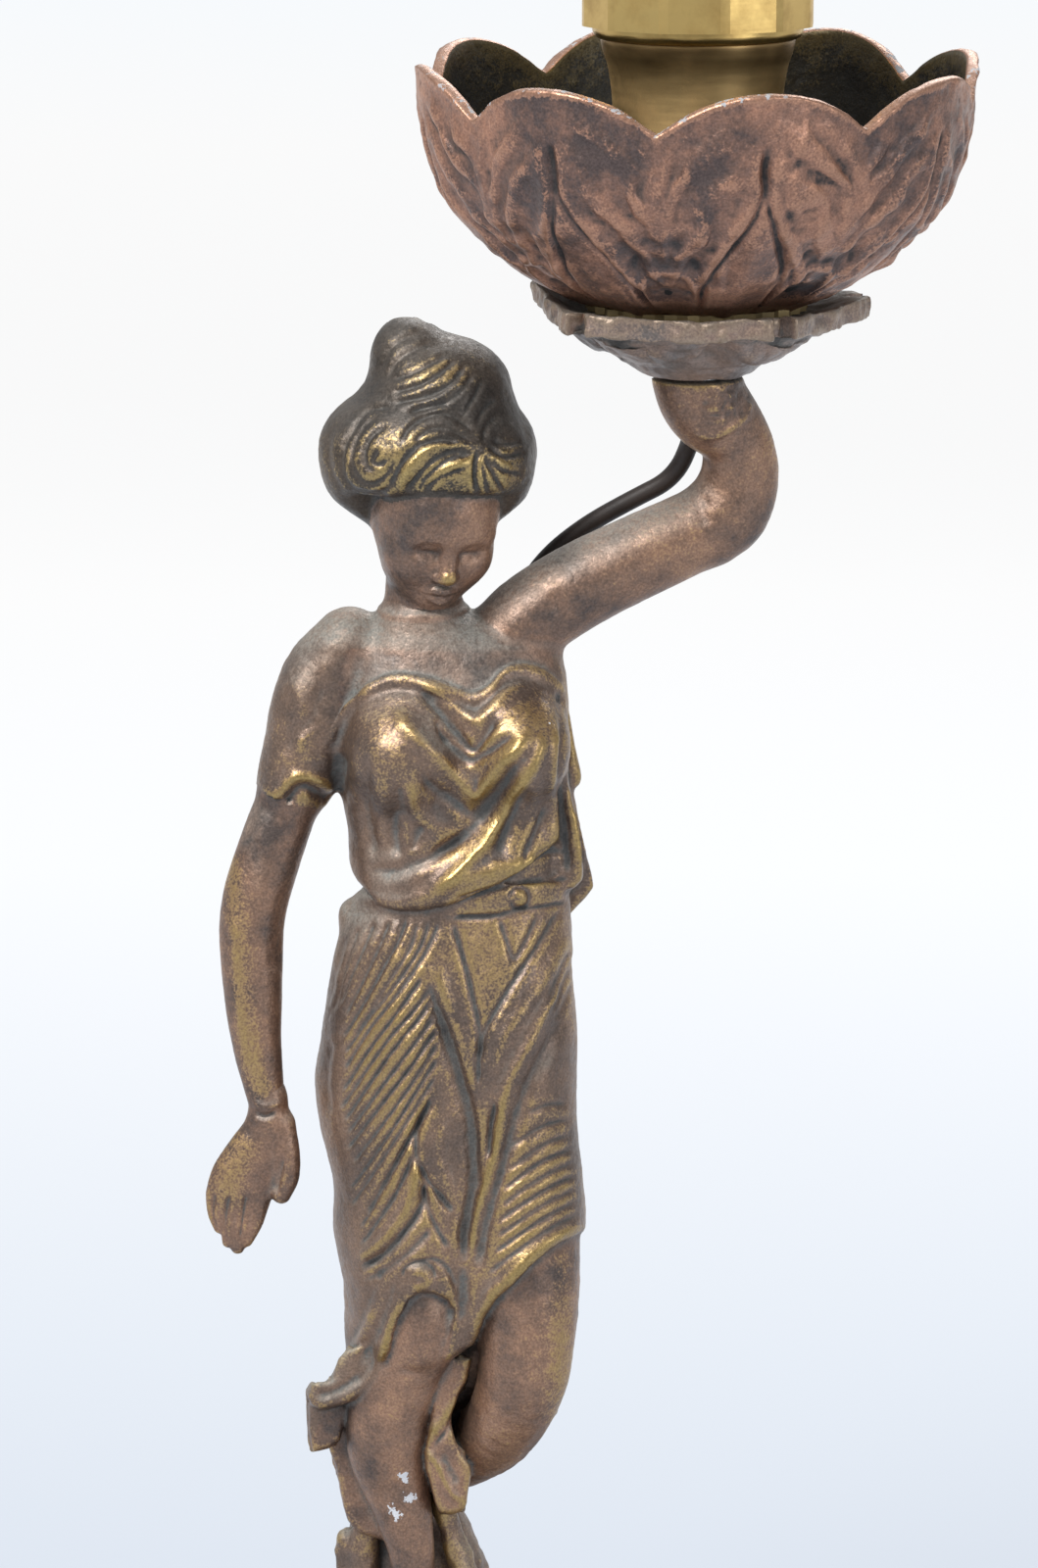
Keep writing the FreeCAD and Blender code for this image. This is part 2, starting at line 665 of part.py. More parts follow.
def hollow():
    """The inside of the casting, a wall in from the sections and open at the bottom of the drapery."""
    sections = []
    for h, left, right, front, back in reversed(SKIRT[1:]):
        inner_front = max([front + CAST_WALL] + [limit for height, limit in CORE_FRONT if h <= height])
        sections.append((h, left + CAST_WALL, right - CAST_WALL, inner_front, back - CAST_WALL))
    for h, left, right, front, back in BODICE[1:7]:
        sections.append((h, left + CAST_WALL, right - CAST_WALL, front + CAST_WALL, back - CAST_WALL))
    lowest = sections[0]
    sections = [(lowest[0] - 1.0,) + lowest[1:]] + sections
    return body_loft(sections)


def hem_cut():
    """What is cut from the front of the skirt, below its hem."""
    right, bottom = HEM[-1][0] + HEM_CUT_SIDE, HEM_CUT_BOTTOM
    outline = HEM + [(right, HEM[-1][1]), (right, bottom), (HEM[0][0], bottom), HEM[0]]
    points = [V(x, HEM_BACK, GROUND + h) for x, h in outline]
    return Part.Face(Part.makePolygon(points)).extrude(V(0, -HEM_CUT_REACH, 0))


def figure_outside():
    """The trunk with its drapery and legs, before it is hollowed."""
    trunk = body_loft(BODICE).fuse(body_loft(SKIRT)).removeSplitter()
    trunk = trunk.cut(hem_cut())
    for limb_or_fold in [limb(SUPPORT_LEG), limb(SUPPORT_FOOT, UP), limb(BENT_LEG), limb(SWAG),
                         limb(MIDDLE_FOLD), limb(MANTLE), limb(SLEEVE)]:
        trunk = trunk.fuse(limb_or_fold)
    return trunk


def arm_h(share):
    """The height of a share of the raised arm's rise."""
    return SHOULDER_H + share * (HAND_TOP_H - SHOULDER_H)


def raised(stations):
    """The raised arm's stations with their shares of its rise made heights."""
    return [(s[0], s[1], arm_h(s[2]), s[3], s[4]) for s in stations]


def wire_stations():
    """The wire from the lampholder down into the hand, behind the raised arm and into the back."""
    down = [(BOWL_X, BOWL_Y, BODY_BOTTOM + WIRE_IN_BODY), (BOWL_X, BOWL_Y, HAND_TOP - WIRE_BELOW_HAND)]
    behind = [(x, y, GROUND + arm_h(share)) for x, y, share in ARM_WIRE]
    return [V(*p) for p in down + behind]


def back_hole():
    """Where the wire crosses the figure's back, and the direction out of it."""
    outer, inner = wire_stations()[-2:]
    out = (outer - inner).normalize()
    return inner + out * GROMMET_DEPTH, out


def figure(outside):
    place, out = back_hole()
    hole = Part.makeCylinder(GROMMET_R, 2 * GROMMET_T + 8.0, place - out * (GROMMET_T + 6.0), out)
    return outside.cut(hollow()).cut(hole)


def head(outside):
    whole = body_loft(FACE).fuse(body_loft(HAIR)).fuse(ellipsoid(*BUN)).fuse(limb(NECK)).fuse(limb(NOSE))
    return whole.removeSplitter().cut(outside)


def lowered_arm(outside):
    return limb(LOWERED_ARM).cut(outside)


def lowered_hand(arm):
    return limb(LOWERED_HAND).fuse(limb(THUMB)).cut(arm)


def hand_bores():
    """The threaded hole in the raised hand, and the way for the wire down from it and out behind."""
    thread = cylinder(BOWL_X, BOWL_Y, NIPPLE_BOTTOM, NIPPLE_R + THREAD_FIT, HAND_TOP - NIPPLE_BOTTOM + 1)
    return thread.fuse(swept(arm_wire_path(), WIRE_D / 2 + WIRE_FIT))


def arm_wire_path():
    return rounded_path(wire_stations())[0]


def raised_arm(outside, carried):
    arm = limb(raised(UPPER_ARM)).fuse(limb(raised(FOREARM)))
    return arm.cut(outside).cut(carried).cut(hand_bores())


def raised_hand(arm):
    return limb(raised(RAISED_HAND)).cut(arm).cut(hand_bores())


def arm_wire():
    return swept(arm_wire_path(), WIRE_D / 2)


def back_grommet(outside, arm):
    place, out = back_hole()
    sleeve = Part.makeCylinder(GROMMET_R - THREAD_FIT, GROMMET_T + 3.0, place - out * GROMMET_T, out)
    lip = Part.makeCylinder(GROMMET_R + GROMMET_LIP, GROMMET_T, place, out).cut(outside)
    bore = Part.makeCylinder(WIRE_D / 2 + WIRE_FIT, 4 * GROMMET_T + 4, place - out * 2 * GROMMET_T, out)
    return sleeve.fuse(lip).cut(arm).cut(bore)


# ---- plate and bowl -----------------------------------------------------------------------------

def plate():
    """The five-lobed plate on its stepped collar, bored for the nipple."""
    lobes = polygon_prism(BOWL_X, BOWL_Y, PLATE_BOTTOM, PLATE_R, PLATE_LOBES, PLATE_T,
                          PLATE_FIRST_LOBE + 180.0 / PLATE_LOBES)
    for i in range(PLATE_LOBES):
        angle = PLATE_FIRST_LOBE + 360.0 * (i + 0.5) / PLATE_LOBES
        notch = Part.makeBox(12.0, PLATE_NOTCH, PLATE_T + 2, V(PLATE_R - PLATE_NOTCH_L, -PLATE_NOTCH / 2, -1))
        notch.rotate(V(0, 0, 0), UP, angle)
        notch.translate(V(BOWL_X, BOWL_Y, PLATE_BOTTOM))
        lobes = lobes.cut(notch)
    collar = turned([(r, HAND_TOP + share * COLLAR_H) for r, share in COLLAR], BOWL_X, BOWL_Y)
    whole = lobes.fuse(collar).removeSplitter()
    return whole.cut(cylinder(BOWL_X, BOWL_Y, HAND_TOP - 1, NIPPLE_R + THREAD_FIT, COLLAR_H + PLATE_T + 2))


def seat_ring():
    """The toothed brass washer that shows between the plate and the bowl."""
    corners = []
    for i in range(2 * SEAT_RING_TEETH + 1):
        a = math.pi * i / SEAT_RING_TEETH
        r = SEAT_RING_R - (SEAT_RING_TOOTH if i % 2 else 0.0)
        corners.append(V(BOWL_X + r * math.cos(a), BOWL_Y + r * math.sin(a), PLATE_TOP))
    corners[-1] = corners[0]
    ring = Part.Face(Part.makePolygon(corners)).extrude(V(0, 0, SEAT_RING_T))
    return ring.cut(cylinder(BOWL_X, BOWL_Y, PLATE_TOP - 1, NIPPLE_R + THREAD_FIT, SEAT_RING_T + 2))


def petal_ring(radius, z, bulge):
    """A level section of the bowl, which swells at each petal."""
    points = []
    for i in range(4 * PETALS):
        a = 2 * math.pi * i / (4 * PETALS)
        swell = math.cos(PETALS * (a - math.radians(PETAL_PHASE)))
        r = radius * (1 + bulge * (swell - 1) / 2)
        points.append(V(BOWL_X + r * math.cos(a), BOWL_Y + r * math.sin(a), z))
    return closed_spline(points)


def bowl():
    outer_rings, inner_rings = [], []
    for radius_share, share in BOWL_PROFILE:
        radius = radius_share * BOWL_R
        z = BOWL_BOTTOM + share * BOWL_H
        bulge = PETAL_BULGE * share ** 0.5
        outer_rings.append(petal_ring(radius, z, bulge))
        if z > BOWL_BOTTOM + BOWL_FLOOR_T + 0.5:
            inner_rings.append(petal_ring(radius - BOWL_WALL, z, bulge))
    floor_z = BOWL_BOTTOM + BOWL_FLOOR_T
    inner_rings.insert(0, petal_ring(BOWL_FLOOR_R, floor_z, 0.0))
    inner_rings.append(petal_ring(BOWL_R - BOWL_WALL + 0.1, BOWL_BOTTOM + BOWL_H + 2.0, PETAL_BULGE))
    outside = Part.makeLoft(outer_rings, True, False)
    inside = Part.makeLoft(inner_rings, True, False)
    whole = outside.cut(inside)
    for i in range(PETALS):
        whole = whole.cut(petal_valley(PETAL_PHASE + 360.0 * (i + 0.5) / PETALS))
    return whole.cut(cylinder(BOWL_X, BOWL_Y, BOWL_BOTTOM - 1, NIPPLE_R + THREAD_FIT, BOWL_FLOOR_T + 2))


def petal_valley(angle):
    """What is cut from the rim between two petals, whose tops are round and meet in a V."""
    half = BOWL_R * math.sin(math.pi / PETALS) + 0.5
    top = BOWL_BOTTOM + BOWL_H
    radius = (half * half + PETAL_DEPTH * PETAL_DEPTH) / (2 * PETAL_DEPTH)
    sweep = math.asin(half / radius) / 2
    edges = []
    for side in (-1, 1):
        middle = V(0, side * (half - radius * math.sin(sweep)), top - radius * (1 - math.cos(sweep)))
        ends = [V(0, side * half, top), V(0, 0, top - PETAL_DEPTH)]
        edges.append(Part.Arc(ends[0], middle, ends[1]).toShape())
        edges.append(Part.LineSegment(ends[0], V(0, side * half, top + 4)).toShape())
    edges.append(Part.LineSegment(V(0, -half, top + 4), V(0, half, top + 4)).toShape())
    cutter = Part.Face(Part.Wire(Part.__sortEdges__(edges))).extrude(V(BOWL_R, 0, 0))
    cutter.translate(V(BOWL_R / 2, 0, 0))
    cutter.rotate(V(0, 0, 0), UP, angle)
    cutter.translate(V(BOWL_X, BOWL_Y, 0))
    return cutter


# ---- lampholder ---------------------------------------------------------------------------------

def nipple():
    return tube(BOWL_X, BOWL_Y, NIPPLE_BOTTOM, NIPPLE_R, NIPPLE_BORE_R, NIPPLE_TOP - NIPPLE_BOTTOM)


def lock_nut():
    nut = polygon_prism(BOWL_X, BOWL_Y, CUP_BOTTOM, NUT_FLATS / math.sqrt(3), 6, LOCK_NUT_T)
    return nut.cut(cylinder(BOWL_X, BOWL_Y, CUP_BOTTOM - 1, NIPPLE_R + THREAD_FIT, LOCK_NUT_T + 2))


def cup():
    """The spun brass cup under the lampholder, whose mouth flares to the cap's bead."""
    outer = [(r, CUP_BOTTOM + share * CUP_H) for r, share in CUP_PROFILE]
    inner = [(r - CUP_WALL, z) for r, z in reversed(outer)]
    return turned(outer + inner, BOWL_X, BOWL_Y)


def cap():
    """The cap of the lampholder: a plain bead under a faceted band, with a floor on the nipple."""
    bead = cylinder(BOWL_X, BOWL_Y, CAP_BOTTOM, CAP_BEAD_R, CAP_BEAD_H)
    rims = [e for e in bead.Edges if len(e.Vertexes) == 1 and e.Length > CAP_BEAD_R]
    bead = bead.makeFillet(CAP_BEAD_ROUND, rims)
    corner = CAP_R / math.cos(math.pi / CAP_FACETS)
    band = polygon_prism(BOWL_X, BOWL_Y, CAP_BOTTOM + CAP_BEAD_H - CAP_BEAD_ROUND, corner, CAP_FACETS,
                         CAP_BAND_H + CAP_BEAD_ROUND, CAP_FACET_PHASE)
    band = band.common(cylinder(BOWL_X, BOWL_Y, CAP_BOTTOM, corner - CAP_CORNER_TRIM, 2 * CAP_BAND_H))
    floor_z = CAP_BOTTOM + CAP_FLOOR_T
    whole = bead.fuse(band).cut(cylinder(BOWL_X, BOWL_Y, floor_z, CAP_INNER_R, CAP_BAND_H + CAP_BEAD_H))
    whole = whole.cut(cylinder(BOWL_X, BOWL_Y, CAP_BOTTOM - 1, NIPPLE_R + THREAD_FIT, CAP_FLOOR_T + 2))
    return whole.cut(cylinder(BOWL_X, BOWL_Y, SHELL_BOTTOM, SHELL_R + THREAD_FIT, SHELL_IN_CAP + 1))


def knob_hole(radius):
    return Part.makeCylinder(radius, 2 * SHELL_R, V(BOWL_X, BOWL_Y, KNOB_Z), RIGHT)


def shell():
    """The brass shell, open at the top, with a rolled lip and a hole for the switch."""
    top, r = SHELL_TOP, SHELL_R
    outline = [
        (r, SHELL_BOTTOM),
        (r, top - SHELL_LIP),
        (r + SHELL_LIP / 2, top - SHELL_LIP / 2),
        (r, top),
        (r - SHELL_WALL, top),
        (r - SHELL_WALL, SHELL_BOTTOM),
    ]
    return turned(outline, BOWL_X, BOWL_Y).cut(knob_hole(BUSH_R + THREAD_FIT))


def liner():
    """The insulating sleeve inside the shell."""
    outer = SHELL_R - SHELL_WALL - LINER_GAP
    sleeve = tube(BOWL_X, BOWL_Y, LINER_BOTTOM, outer, outer - LINER_WALL, SHELL_TOP - 1.0 - LINER_BOTTOM)
    return sleeve.cut(knob_hole(BUSH_R + THREAD_FIT))


def holder_body():
    """The insulating block with the switch's chamber, on which the screw shell and the contact stand."""
    block = cylinder(BOWL_X, BOWL_Y, BODY_BOTTOM, BODY_R, BODY_H)
    foot_h = BODY_BOTTOM - CAP_BOTTOM
    block = block.fuse(cylinder(BOWL_X, BOWL_Y, CAP_BOTTOM + CAP_FLOOR_T, BODY_FOOT_R, foot_h))
    block = block.cut(cylinder(BOWL_X, BOWL_Y, CAP_BOTTOM, BODY_FOOT_R - BODY_FOOT_WALL, foot_h))
    shaft_start = V(BOWL_X + BODY_R - SHAFT_IN, BOWL_Y, KNOB_Z)
    block = block.cut(Part.makeCylinder(SHAFT_R + SHAFT_FIT, 2 * SHAFT_IN, shaft_start, RIGHT))
    return block.cut(cylinder(BOWL_X, BOWL_Y, CAP_BOTTOM, WIRE_WAY_R, foot_h + WIRE_IN_BODY))


def screw_shell():
    """The threaded shell for the bulb's cap, with a foot ring on the block and a relief over it."""
    outer = SCREW_BORE_R + SCREW_WALL
    wall = tube(BOWL_X, BOWL_Y, BODY_TOP, outer, SCREW_BORE_R, SCREW_L)
    relief_r, relief_top = SCREW_BORE_R + SCREW_RELIEF, SCREW_WALL + SCREW_RELIEF_L
    wall = wall.cut(cylinder(BOWL_X, BOWL_Y, BODY_TOP, relief_r, relief_top))
    foot = tube(BOWL_X, BOWL_Y, BODY_TOP, outer, SCREW_BORE_R - SCREW_FOOT_W, SCREW_WALL)
    return wall.fuse(foot).removeSplitter()


def contact():
    return Part.makeCone(CONTACT_R, CONTACT_TOP_R, CONTACT_T, V(BOWL_X, BOWL_Y, BODY_TOP), UP)


def terminal_screw(side):
    """A terminal screw in the side of the block."""
    start = V(BOWL_X, BOWL_Y + side * (BODY_R - BUSH_SINK), BODY_BOTTOM + TERMINAL_UP)
    screw = Part.makeCylinder(TERMINAL_R, TERMINAL_T + BUSH_SINK, start, V(0, side, 0))
    return screw.cut(cylinder(BOWL_X, BOWL_Y, BODY_BOTTOM, BODY_R, BODY_H))


def bush_face():
    """How far the outer end of the switch's bush stands from the lampholder's axis."""
    return SHELL_R + BUSH_OUT


def switch_bush():
    inner = BODY_R - BUSH_SINK
    bush = Part.makeCylinder(BUSH_R, bush_face() - inner, V(BOWL_X + inner, BOWL_Y, KNOB_Z), RIGHT)
    bush = bush.cut(cylinder(BOWL_X, BOWL_Y, BODY_BOTTOM, BODY_R, BODY_H))
    return bush.cut(knob_hole(SHAFT_R + SHAFT_FIT))


def switch_shaft():
    start = BODY_R - SHAFT_IN + KNOB_GAP
    length = bush_face() + KNOB_GAP + SHAFT_IN_KNOB - start
    return Part.makeCylinder(SHAFT_R, length, V(BOWL_X + start, BOWL_Y, KNOB_Z), RIGHT)


def switch_knob():
    """The flat turn key of the switch on its round hub."""
    hub_x = BOWL_X + bush_face() + KNOB_GAP
    hub = Part.makeCylinder(KNOB_HUB_R, KNOB_HUB_L, V(hub_x, BOWL_Y, KNOB_Z), RIGHT)
    paddle_centre = V(hub_x + KNOB_L - KNOB_W / 2, BOWL_Y - KNOB_T / 2, KNOB_Z)
    paddle = Part.makeCylinder(KNOB_W / 2, KNOB_T, paddle_centre, BACK)
    web = Part.makeBox(KNOB_L - KNOB_W / 2 - KNOB_HUB_L / 2, KNOB_T, KNOB_NECK_W,
                       V(hub_x + KNOB_HUB_L / 2, BOWL_Y - KNOB_T / 2, KNOB_Z - KNOB_NECK_W / 2))
    whole = hub.fuse([paddle, web]).removeSplitter()
    return whole.cut(Part.makeCylinder(SHAFT_R, SHAFT_IN_KNOB, V(hub_x, BOWL_Y, KNOB_Z), RIGHT))


# ---- lead ---------------------------------------------------------------------------------------

def body_wire():
    """The wire inside the figure, from its back down through the rock and the rod."""
    points = [wire_stations()[-1]]
    points += [V(x, y, z) for x, y, z in BODY_WIRE]
    path, radii = rounded_path(points)
    return swept(path, WIRE_D / 2), radii


def supply_tail():
    """The end of the lead inside the base, from its joint with the figure's wire out through the bushing."""
    start = V(0, SPLICE_Y, EXIT_Z)
    return Part.makeCylinder(LEAD_D / 2, LEAD_START_Y - SPLICE_Y, start, BACK)


def splice():
    """The insulated joint of the two leads inside the base."""
    return Part.makeCylinder(SPLICE_R, SPLICE_L, V(0, SPLICE_Y - SPLICE_L, EXIT_Z), BACK)


def coil_point(turns):
    """A point of the coil's line, which spirals in and out again, and climbs a layer as it reverses."""
    leg = int(min(turns // COIL_LAYER_TURNS, COIL_LAYERS - 1))
    along = turns - leg * COIL_LAYER_TURNS
    inward = along if leg % 2 == 0 else COIL_LAYER_TURNS - along
    radius = COIL_R - COIL_STEP * inward
    past = [(turns - k * COIL_LAYER_TURNS) / COIL_CLIMB_TURNS + 0.5 for k in range(1, COIL_LAYERS)]
    climb = sum(min(max(share, 0.0), 1.0) for share in past)
    angle = math.pi - 2 * math.pi * turns
    x, y = COIL_X + radius * math.cos(angle), COIL_Y + radius * math.sin(angle)
    return V(x, y, LEAD_D / 2 + COIL_STEP * climb)


def coil_wire():
    """The coil as biarcs of a quarter of a turn, with straight ends of one diameter."""
    steps = round(COIL_LAYERS * COIL_LAYER_TURNS * COIL_STEPS_PER_TURN)
    stations = [coil_point(i / COIL_STEPS_PER_TURN) for i in range(steps + 1)]
    headings = []
    for i in range(steps + 1):
        turns = i / COIL_STEPS_PER_TURN
        headings.append((coil_point(turns + 0.001) - coil_point(turns - 0.001)).normalize())
    headings[0], headings[-1] = BACK, RIGHT
    edges = [Part.LineSegment(stations[0] - headings[0] * LEAD_D, stations[0]).toShape()]
    for i in range(steps):
        edges += biarc(stations[i], headings[i], stations[i + 1], headings[i + 1])
    edges.append(Part.LineSegment(stations[-1], stations[-1] + headings[-1] * LEAD_D).toShape())
    return Part.Wire(edges)


def coil():
    wire = coil_wire()
    start = V(COIL_X - COIL_R, COIL_Y - LEAD_D, LEAD_D / 2)
    corners = []
    for i in range(COIL_SIDES + 1):
        a = 2 * math.pi * (i + 0.5) / COIL_SIDES
        corner = LEAD_D / 2 / math.cos(math.pi / COIL_SIDES)
        corners.append(start + V(corner * math.sin(a), 0, corner * math.cos(a)))
    corners[-1] = corners[0]
    return wire.makePipeShell([Part.makePolygon(corners)], True, False), wire


def mains_lead():
    path, radii = rounded_path([V(*p) for p in MAINS_ROUTE])
    return swept(path, LEAD_D / 2), radii, path


def lead_tail():
    path, radii = rounded_path([V(*p) for p in TAIL_ROUTE])
    return swept(path, LEAD_D / 2), radii, path


def plug_body():
    """The plug: a tapered grip that widens to a flat face."""
    x, y, z = TAIL_ROUTE[-1]
    half = [(PLUG_GRIP_W / 2, 0), (PLUG_W / 2, -PLUG_L * PLUG_SHOULDER), (PLUG_W / 2, -PLUG_L)]
    outline = half + [(-dx, dy) for dx, dy in reversed(half)]
    corners = [V(x + dx, y + dy, z - PLUG_T / 2) for dx, dy in outline]
    body = Part.Face(Part.makePolygon(corners + corners[:1])).extrude(V(0, 0, PLUG_T))
    return body.makeFillet(PLUG_ROUND, [e for e in body.Edges if abs(e.tangentAt(e.FirstParameter).z) < 0.5])


def plug_blade(side):
    x, y, z = TAIL_ROUTE[-1]
    corner = V(x + side * BLADE_GAP / 2 - BLADE_T / 2, y - PLUG_L - BLADE_L, z - BLADE_W / 2)
    return Part.makeBox(BLADE_T, BLADE_L, BLADE_W, corner)


# ---- the lamp -----------------------------------------------------------------------------------

def lamp():
    """Every piece by its node's name."""
    stone = rock()
    outside = figure_outside().cut(stone)
    calyx = plate()
    left_arm, right_arm = lowered_arm(outside), raised_arm(outside, calyx)
    return {
        "base_felt": felt_pad(),
        "base_cover": bottom_cover(),
        "base_plinth": base_shell(),
        "base_weight": base_weight(),
        "tie_rod": tie_rod(),
        "tie_rod_washer": rod_washer(),
        "tie_rod_nut": rod_nut(),
        "cord_bushing": exit_bushing(),
        "rock": stone,
        "figure_body": figure(outside),
        "head": head(outside),
        "lowered_arm": left_arm,
        "lowered_hand": lowered_hand(left_arm),
        "raised_arm": right_arm,
        "raised_hand": raised_hand(right_arm),
        "back_grommet": back_grommet(outside, right_arm),
        "arm_lead": arm_wire(),
        "body_lead": body_wire()[0],
        "calyx_plate": calyx,
        "seat_ring": seat_ring(),
        "petal_bowl": bowl(),
        "nipple": nipple(),
        "nipple_locknut": lock_nut(),
        "socket_cup": cup(),
        "socket_cap": cap(),
        "socket_shell": shell(),
        "socket_liner": liner(),
        "socket_body": holder_body(),
        "screw_shell": screw_shell(),
        "centre_contact": contact(),
        "terminal_screw_front": terminal_screw(-1),
        "terminal_screw_back": terminal_screw(1),
        "switch_bush": switch_bush(),
        "switch_shaft": switch_shaft(),
        "switch_knob": switch_knob(),
        "base_lead": supply_tail(),
        "lead_splice": splice(),
        "mains_lead": mains_lead()[0],
        "lead_coil": coil()[0],
        "lead_tail": lead_tail()[0],
        "plug_body": plug_body(),
        "plug_blade_left": plug_blade(-1),
        "plug_blade_right": plug_blade(1),
    }


def least_gap(wire):
    """The least distance between the coil's surfaces, from points along its line."""
    step = LEAD_D / 3
    points = wire.discretize(Distance=step)
    apart = int(4 * LEAD_D / step)
    return min((p - q).Length for i, p in enumerate(points) for q in points[i + apart:]) - LEAD_D


def report_leads():
    """Print the leads' bends, lengths and volumes, and the coil's least gap to itself."""
    section = math.pi * (LEAD_D / 2) ** 2
    for name, (shape, radii, path) in (("mains_lead", mains_lead()), ("lead_tail", lead_tail())):
        print(name, "radii", [round(r, 1) for r in radii], "length", round(path.Length, 1),
              "volume ratio", round(shape.Volume / (section * path.Length), 4))
    wire_path, wire_radii = rounded_path(wire_stations())
    print("arm_lead radii", [round(r, 1) for r in wire_radii], "length", round(wire_path.Length, 1))
    print("body_lead radii", [round(r, 1) for r in body_wire()[1]])
    line = coil_wire()
    print("lead_coil length", round(line.Length, 1), "least gap", round(least_gap(line), 2))


if __name__ == "__main__":
    os.makedirs("parts", exist_ok=True)
    for node, shape in lamp().items():
        shape.exportStep("parts/" + node + ".step")
        if not shape.isValid() or len(shape.Solids) != 1:
            print("CHECK", node, shape.isValid(), len(shape.Solids))
    report_leads()
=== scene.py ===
"""Looks of a bronze-finished figural table lamp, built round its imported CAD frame.

The figure, head, hand, rock and plate are sculpted on distance grids in millimetres and skinned as meshes.
Strokes of the sculpting tool are lines in the photograph's 1059 x 1600 pixels, thrown on the surface that
the camera sees. The bowl, base and lampholder are turned or formed by formula.
"""
import json
import math

import bpy
import numpy as np
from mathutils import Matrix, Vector


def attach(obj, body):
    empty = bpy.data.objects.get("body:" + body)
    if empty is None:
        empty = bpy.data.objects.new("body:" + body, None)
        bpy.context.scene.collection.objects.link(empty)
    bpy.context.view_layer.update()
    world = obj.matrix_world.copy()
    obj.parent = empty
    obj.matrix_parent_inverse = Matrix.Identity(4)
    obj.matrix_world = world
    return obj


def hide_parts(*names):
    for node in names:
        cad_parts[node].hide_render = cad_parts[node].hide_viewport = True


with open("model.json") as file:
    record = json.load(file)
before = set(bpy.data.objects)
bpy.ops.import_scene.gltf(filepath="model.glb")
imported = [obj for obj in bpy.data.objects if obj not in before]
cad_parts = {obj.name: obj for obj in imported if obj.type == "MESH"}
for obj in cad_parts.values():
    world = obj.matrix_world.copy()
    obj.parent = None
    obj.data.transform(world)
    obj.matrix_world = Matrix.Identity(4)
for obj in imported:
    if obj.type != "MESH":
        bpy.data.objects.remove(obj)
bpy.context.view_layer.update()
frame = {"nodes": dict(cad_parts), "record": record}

MM = 0.001
# The distance, in millimetres, that an empty grid is filled with.
FAR = 40.0

# ---- the lamp's main places, as in the part's source but for the last two ------------------------

BASE_R = 66.0
BASE_H = 34.0
FOOT_BAND_H = 15.0
FELT_T = 1.5
HAND_TOP = 294.5
PLATE_BOTTOM = 302.5
PLATE_TOP = 305.5
BOWL_BOTTOM = 306.7
BOWL_H = 40.2
BOWL_R = 47.4
BOWL_WALL = 2.0
BOWL_FLOOR_T = 2.5
BOWL_FLOOR_R = 18.5
PETALS = 8
PETAL_PHASE = -32.5
PETAL_DEPTH = 6.5
PETAL_BULGE = 0.028
BOWL_X = 36.2
LEAD_D = 4.8
WIRE_D = 3.2
EXIT_Z = 8.0
LEAD_START_Y = 86.0
# The lean of the bowl's rim, as a slope, and the radius of the holes round the nipple, whose own is 4.9.
BOWL_LEAN = 0.032
NIPPLE_R = 5.0

# ---- the photograph's camera ---------------------------------------------------------------------

PHOTO_W = 1059
PHOTO_H = 1600
SENSOR_H = 36.0
VIEW_FOCUS = 6000.0
VIEW_DISTANCE = 1000.0
VIEW_PITCH = math.radians(12.5)
VIEW_AT = np.array([6.6, 0.0, 224.0])
VIEW_BACK = np.array([0.0, -math.cos(VIEW_PITCH), math.sin(VIEW_PITCH)])
VIEW_UP = np.array([0.0, math.sin(VIEW_PITCH), math.cos(VIEW_PITCH)])
VIEW_FROM = VIEW_AT + VIEW_DISTANCE * VIEW_BACK


def to_photo(points):
    """Photograph pixels of points in millimetres."""
    away = points - VIEW_FROM
    depth = -away @ VIEW_BACK
    u = PHOTO_W / 2 + VIEW_FOCUS * away[:, 0] / depth
    v = PHOTO_H / 2 - VIEW_FOCUS * (away @ VIEW_UP) / depth
    return np.stack([u, v], 1)


def to_place(photo, y):
    """Places at depth y that the camera sees at the given pixels."""
    across = (photo[:, 0] - PHOTO_W / 2) / VIEW_FOCUS
    up = (PHOTO_H / 2 - photo[:, 1]) / VIEW_FOCUS
    ray = np.stack([across, -VIEW_BACK[1] + up * VIEW_UP[1], -VIEW_BACK[2] + up * VIEW_UP[2]], 1)
    return VIEW_FROM + ray * ((y - VIEW_FROM[1]) / ray[:, 1])[:, None]


